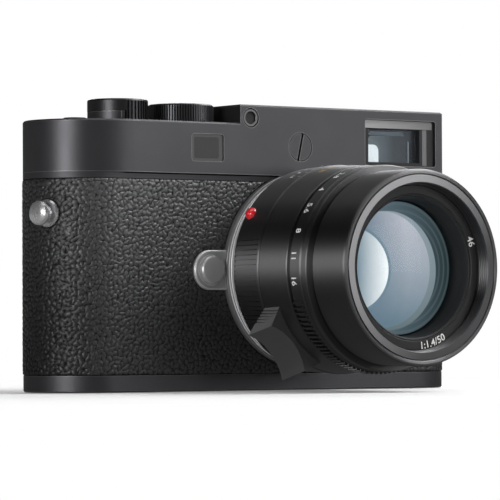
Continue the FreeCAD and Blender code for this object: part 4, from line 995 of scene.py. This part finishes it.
def painted_reflections_look():
    """Painted reflections in the lens: glowing layers of overlapping discs over a ringed ground,
    each painted over the ones before.
    """
    look = Look("painted_reflections")
    dx, dz, radius = look.from_lens_axis()
    # painted light: the ground is pale toward -X and dark toward +X
    ground = look.mix(look.rise(dx, -18.0, 18.0), (0.14, 0.195, 0.235), (0.022, 0.035, 0.038))
    ring_pitch = 1.9
    rings = look.math("SINE", look.times(radius, 2 * math.pi / ring_pitch))
    rings = look.times(look.math("MAXIMUM", rings, 0.0), 0.35)
    ground = look.mix(rings, ground, (0.13, 0.17, 0.175))
    outer = look.mix(look.rise(dz, -17.0, 17.0), (0.15, 0.19, 0.205), (0.32, 0.38, 0.42))
    inner = look.mix(look.rise(dz, -15.0, 15.0), (0.16, 0.23, 0.28), (0.56, 0.56, 0.62))
    inner = look.mix(look.line(dx, slope=1 / 16.0, offset=0.9, clamp=True),
                     (0.14, 0.21, 0.28), inner)
    # painted reflection: a white lune toward -X
    white = look.mix(look.rise(dx, -14.5, -5.5), (0.22, 0.30, 0.36), (0.95, 0.97, 0.98))
    # painted reflections, each: centre from the lens axis, radius, soft edge, tone
    layers = [
        ((-3.9, -0.8), 16.3, 0.25, outer),
        ((-5.9, -0.5), 15.9, 0.2, inner),
        ((-16.3, -0.55), 12.3, 0.25, (0.17, 0.25, 0.31)),
        ((-16.3, -0.55), 11.5, 0.2, white),
    ]
    colour = ground
    for place, disc_radius, soft, tone in layers:
        colour = look.mix(look.disc(dx, dz, place, disc_radius, soft), colour, tone)
    streak = look.noise(scale=0.35, detail=4, rough=0.6, distort=0.8)
    dark = (0.05, 0.08, 0.09)
    body = look.mix(look.times(streak, 0.2), colour, dark)
    look.set(color=look.mix(0.72, body, (0.0, 0.0, 0.0)), spec=0.0,
             rough=look.spread(streak, 0.1, 0.16),
             glow=look.mix(look.times(streak, 0.12), colour, dark), glow_power=0.85)
    look.bump(streak, depth=0.001)
    return look


# the dome carries the painted reflections behind the front glass
cap("inner_element", radius=18.2, depth=41.6, bulge=2.2, look=painted_reflections_look())


# ------------------------------------------------------------------ studio
def floor_look():
    """Pale paper that turns pure white away from the object, and shows dimmer in mirrors."""
    look = Look("studio_floor")
    paper = look.noise(scale=0.9, detail=3)
    look.set(color=look.mix(paper, (0.78, 0.78, 0.78), (0.81, 0.81, 0.81)), rough=0.8, spec=0.05,
             glow=(0.9, 0.9, 0.9), glow_power=0.15)
    look.bump(paper, depth=0.02)
    # 1 on an ellipse of these half-widths round the origin
    away = look.length(look.math("DIVIDE", look.x, 150.0), look.math("DIVIDE", look.y, 120.0))
    far = look.line(away, slope=1.2, offset=-1.0, clamp=True)
    path = look.add("ShaderNodeLightPath").outputs
    plain = look.add("ShaderNodeEmission", (1, 1, 1), 1.0)
    dim = look.add("ShaderNodeEmission", (1, 1, 1), look.line(far, slope=0.22, offset=0.15))
    seen = look.add("ShaderNodeMixShader", look.times(far, path["Is Camera Ray"]),
                    look.principled.outputs[0], plain.outputs[0])
    look.surface(look.add("ShaderNodeMixShader", path["Is Glossy Ray"],
                          seen.outputs[0], dim.outputs[0]))
    return look


def studio_floor():
    half, z = 6.0, -0.0002
    mesh = bpy.data.meshes.new("studio_floor")
    corners = [(-half, -half, z), (half, -half, z), (half, half, z), (-half, half, z)]
    mesh.from_pydata(corners, [], [(0, 1, 2, 3)])
    floor = bpy.data.objects.new("studio_floor", mesh)
    bpy.context.scene.collection.objects.link(floor)
    mesh.materials.append(floor_look().material)


def studio_world():
    """White to the camera. As light it is dim, with a low brighter band behind the object."""
    world = bpy.data.worlds.new("studio")
    bpy.context.scene.world = world
    nodes = Nodes(world)
    toward = nodes.add("ShaderNodeTexCoord").outputs["Generated"]
    _, y, z = nodes.add("ShaderNodeSeparateXYZ", toward).outputs
    low_band = nodes.times(nodes.line(z, slope=-5.0, offset=1.7, clamp=True),
                           nodes.line(z, slope=6.0, offset=1.6, clamp=True))
    behind = nodes.line(y, slope=2.2, offset=-0.5, clamp=True)
    strength = nodes.line(nodes.times(low_band, behind), slope=0.04, offset=0.022)
    light = nodes.add("ShaderNodeBackground", (0.97, 0.98, 1.0), strength)
    seen = nodes.add("ShaderNodeBackground", (1, 1, 1), 1.0)
    camera_ray = nodes.add("ShaderNodeLightPath").outputs["Is Camera Ray"]
    both = nodes.add("ShaderNodeMixShader", camera_ray, light.outputs[0], seen.outputs[0])
    nodes.add("ShaderNodeOutputWorld", both.outputs[0])


LIGHT_TARGET = Vector((LENS_X * MM, -0.02, 0.04))
# name, azimuth from +X about +Z and elevation in degrees, distance, width, height, watts
SOFTBOXES = [
    ("key_left", 199.5, 5, 1.1, 0.38, 0.36, 6.0),
    ("key_left_high", 205, 50, 1.2, 0.5, 0.4, 0.35),
    ("front_right", 302, 8, 1.5, 0.85, 0.9, 6.1),
    ("overhead", 255, 76, 1.1, 1.1, 0.5, 2.8),
    ("over_right", 330, 44, 1.2, 0.75, 0.55, 14.0),
    ("over_back", 35, 40, 1.4, 0.6, 0.4, 6.0),
    ("back_left", 125, 3, 1.7, 0.3, 0.5, 0.08),
    ("back_right", 57, 14, 1.7, 0.3, 0.25, 3.0),
]


def softbox(name, azimuth, elevation, distance, width, height, power):
    """A large area light turned to the target."""
    data = bpy.data.lights.new(name, "AREA")
    data.shape = "RECTANGLE"
    data.size = width
    data.size_y = height
    data.energy = power
    light = bpy.data.objects.new(name, data)
    bpy.context.scene.collection.objects.link(light)
    a, e = math.radians(azimuth), math.radians(elevation)
    out = Vector((math.cos(a) * math.cos(e), math.sin(a) * math.cos(e), math.sin(e)))
    light.location = LIGHT_TARGET + out * distance
    light.rotation_mode = "QUATERNION"
    light.rotation_quaternion = out.to_track_quat("Z", "Y")
    light.visible_camera = False


# viewing camera: in front, turned from the lens axis toward -X and a little below the horizon
VIEW_YAW, VIEW_PITCH, VIEW_ROLL = (math.radians(a) for a in (36.051, -1.299, -0.234))
VIEW_TARGET = Vector((0.004134, 0, 0.039767))
VIEW_DISTANCE = 1.02409
FOCAL_LENGTH_MM = 257.8968
SENSOR_WIDTH_MM = 36.0


def view_camera():
    back = Vector((-math.sin(VIEW_YAW) * math.cos(VIEW_PITCH),
                   -math.cos(VIEW_YAW) * math.cos(VIEW_PITCH), math.sin(VIEW_PITCH)))
    right = (-back).cross(Vector((0, 0, 1))).normalized()
    up = right.cross(-back)
    rolled_right = right * math.cos(VIEW_ROLL) + up * math.sin(VIEW_ROLL)
    rolled_up = -right * math.sin(VIEW_ROLL) + up * math.cos(VIEW_ROLL)
    data = bpy.data.cameras.new("photo_view")
    data.sensor_width = SENSOR_WIDTH_MM
    data.lens = FOCAL_LENGTH_MM
    data.clip_start = 0.05
    data.clip_end = 30.0
    camera = bpy.data.objects.new("photo_view", data)
    bpy.context.scene.collection.objects.link(camera)
    turn = Matrix((rolled_right, rolled_up, back)).transposed()
    place = Matrix.Translation(VIEW_TARGET + back * VIEW_DISTANCE)
    camera.matrix_world = place @ turn.to_4x4()
    bpy.context.scene.camera = camera


studio_floor()
bpy.context.scene.view_settings.view_transform = "Standard"
bpy.context.scene.view_settings.look = "None"
studio_world()
for box in SOFTBOXES:
    softbox(*box)
view_camera()
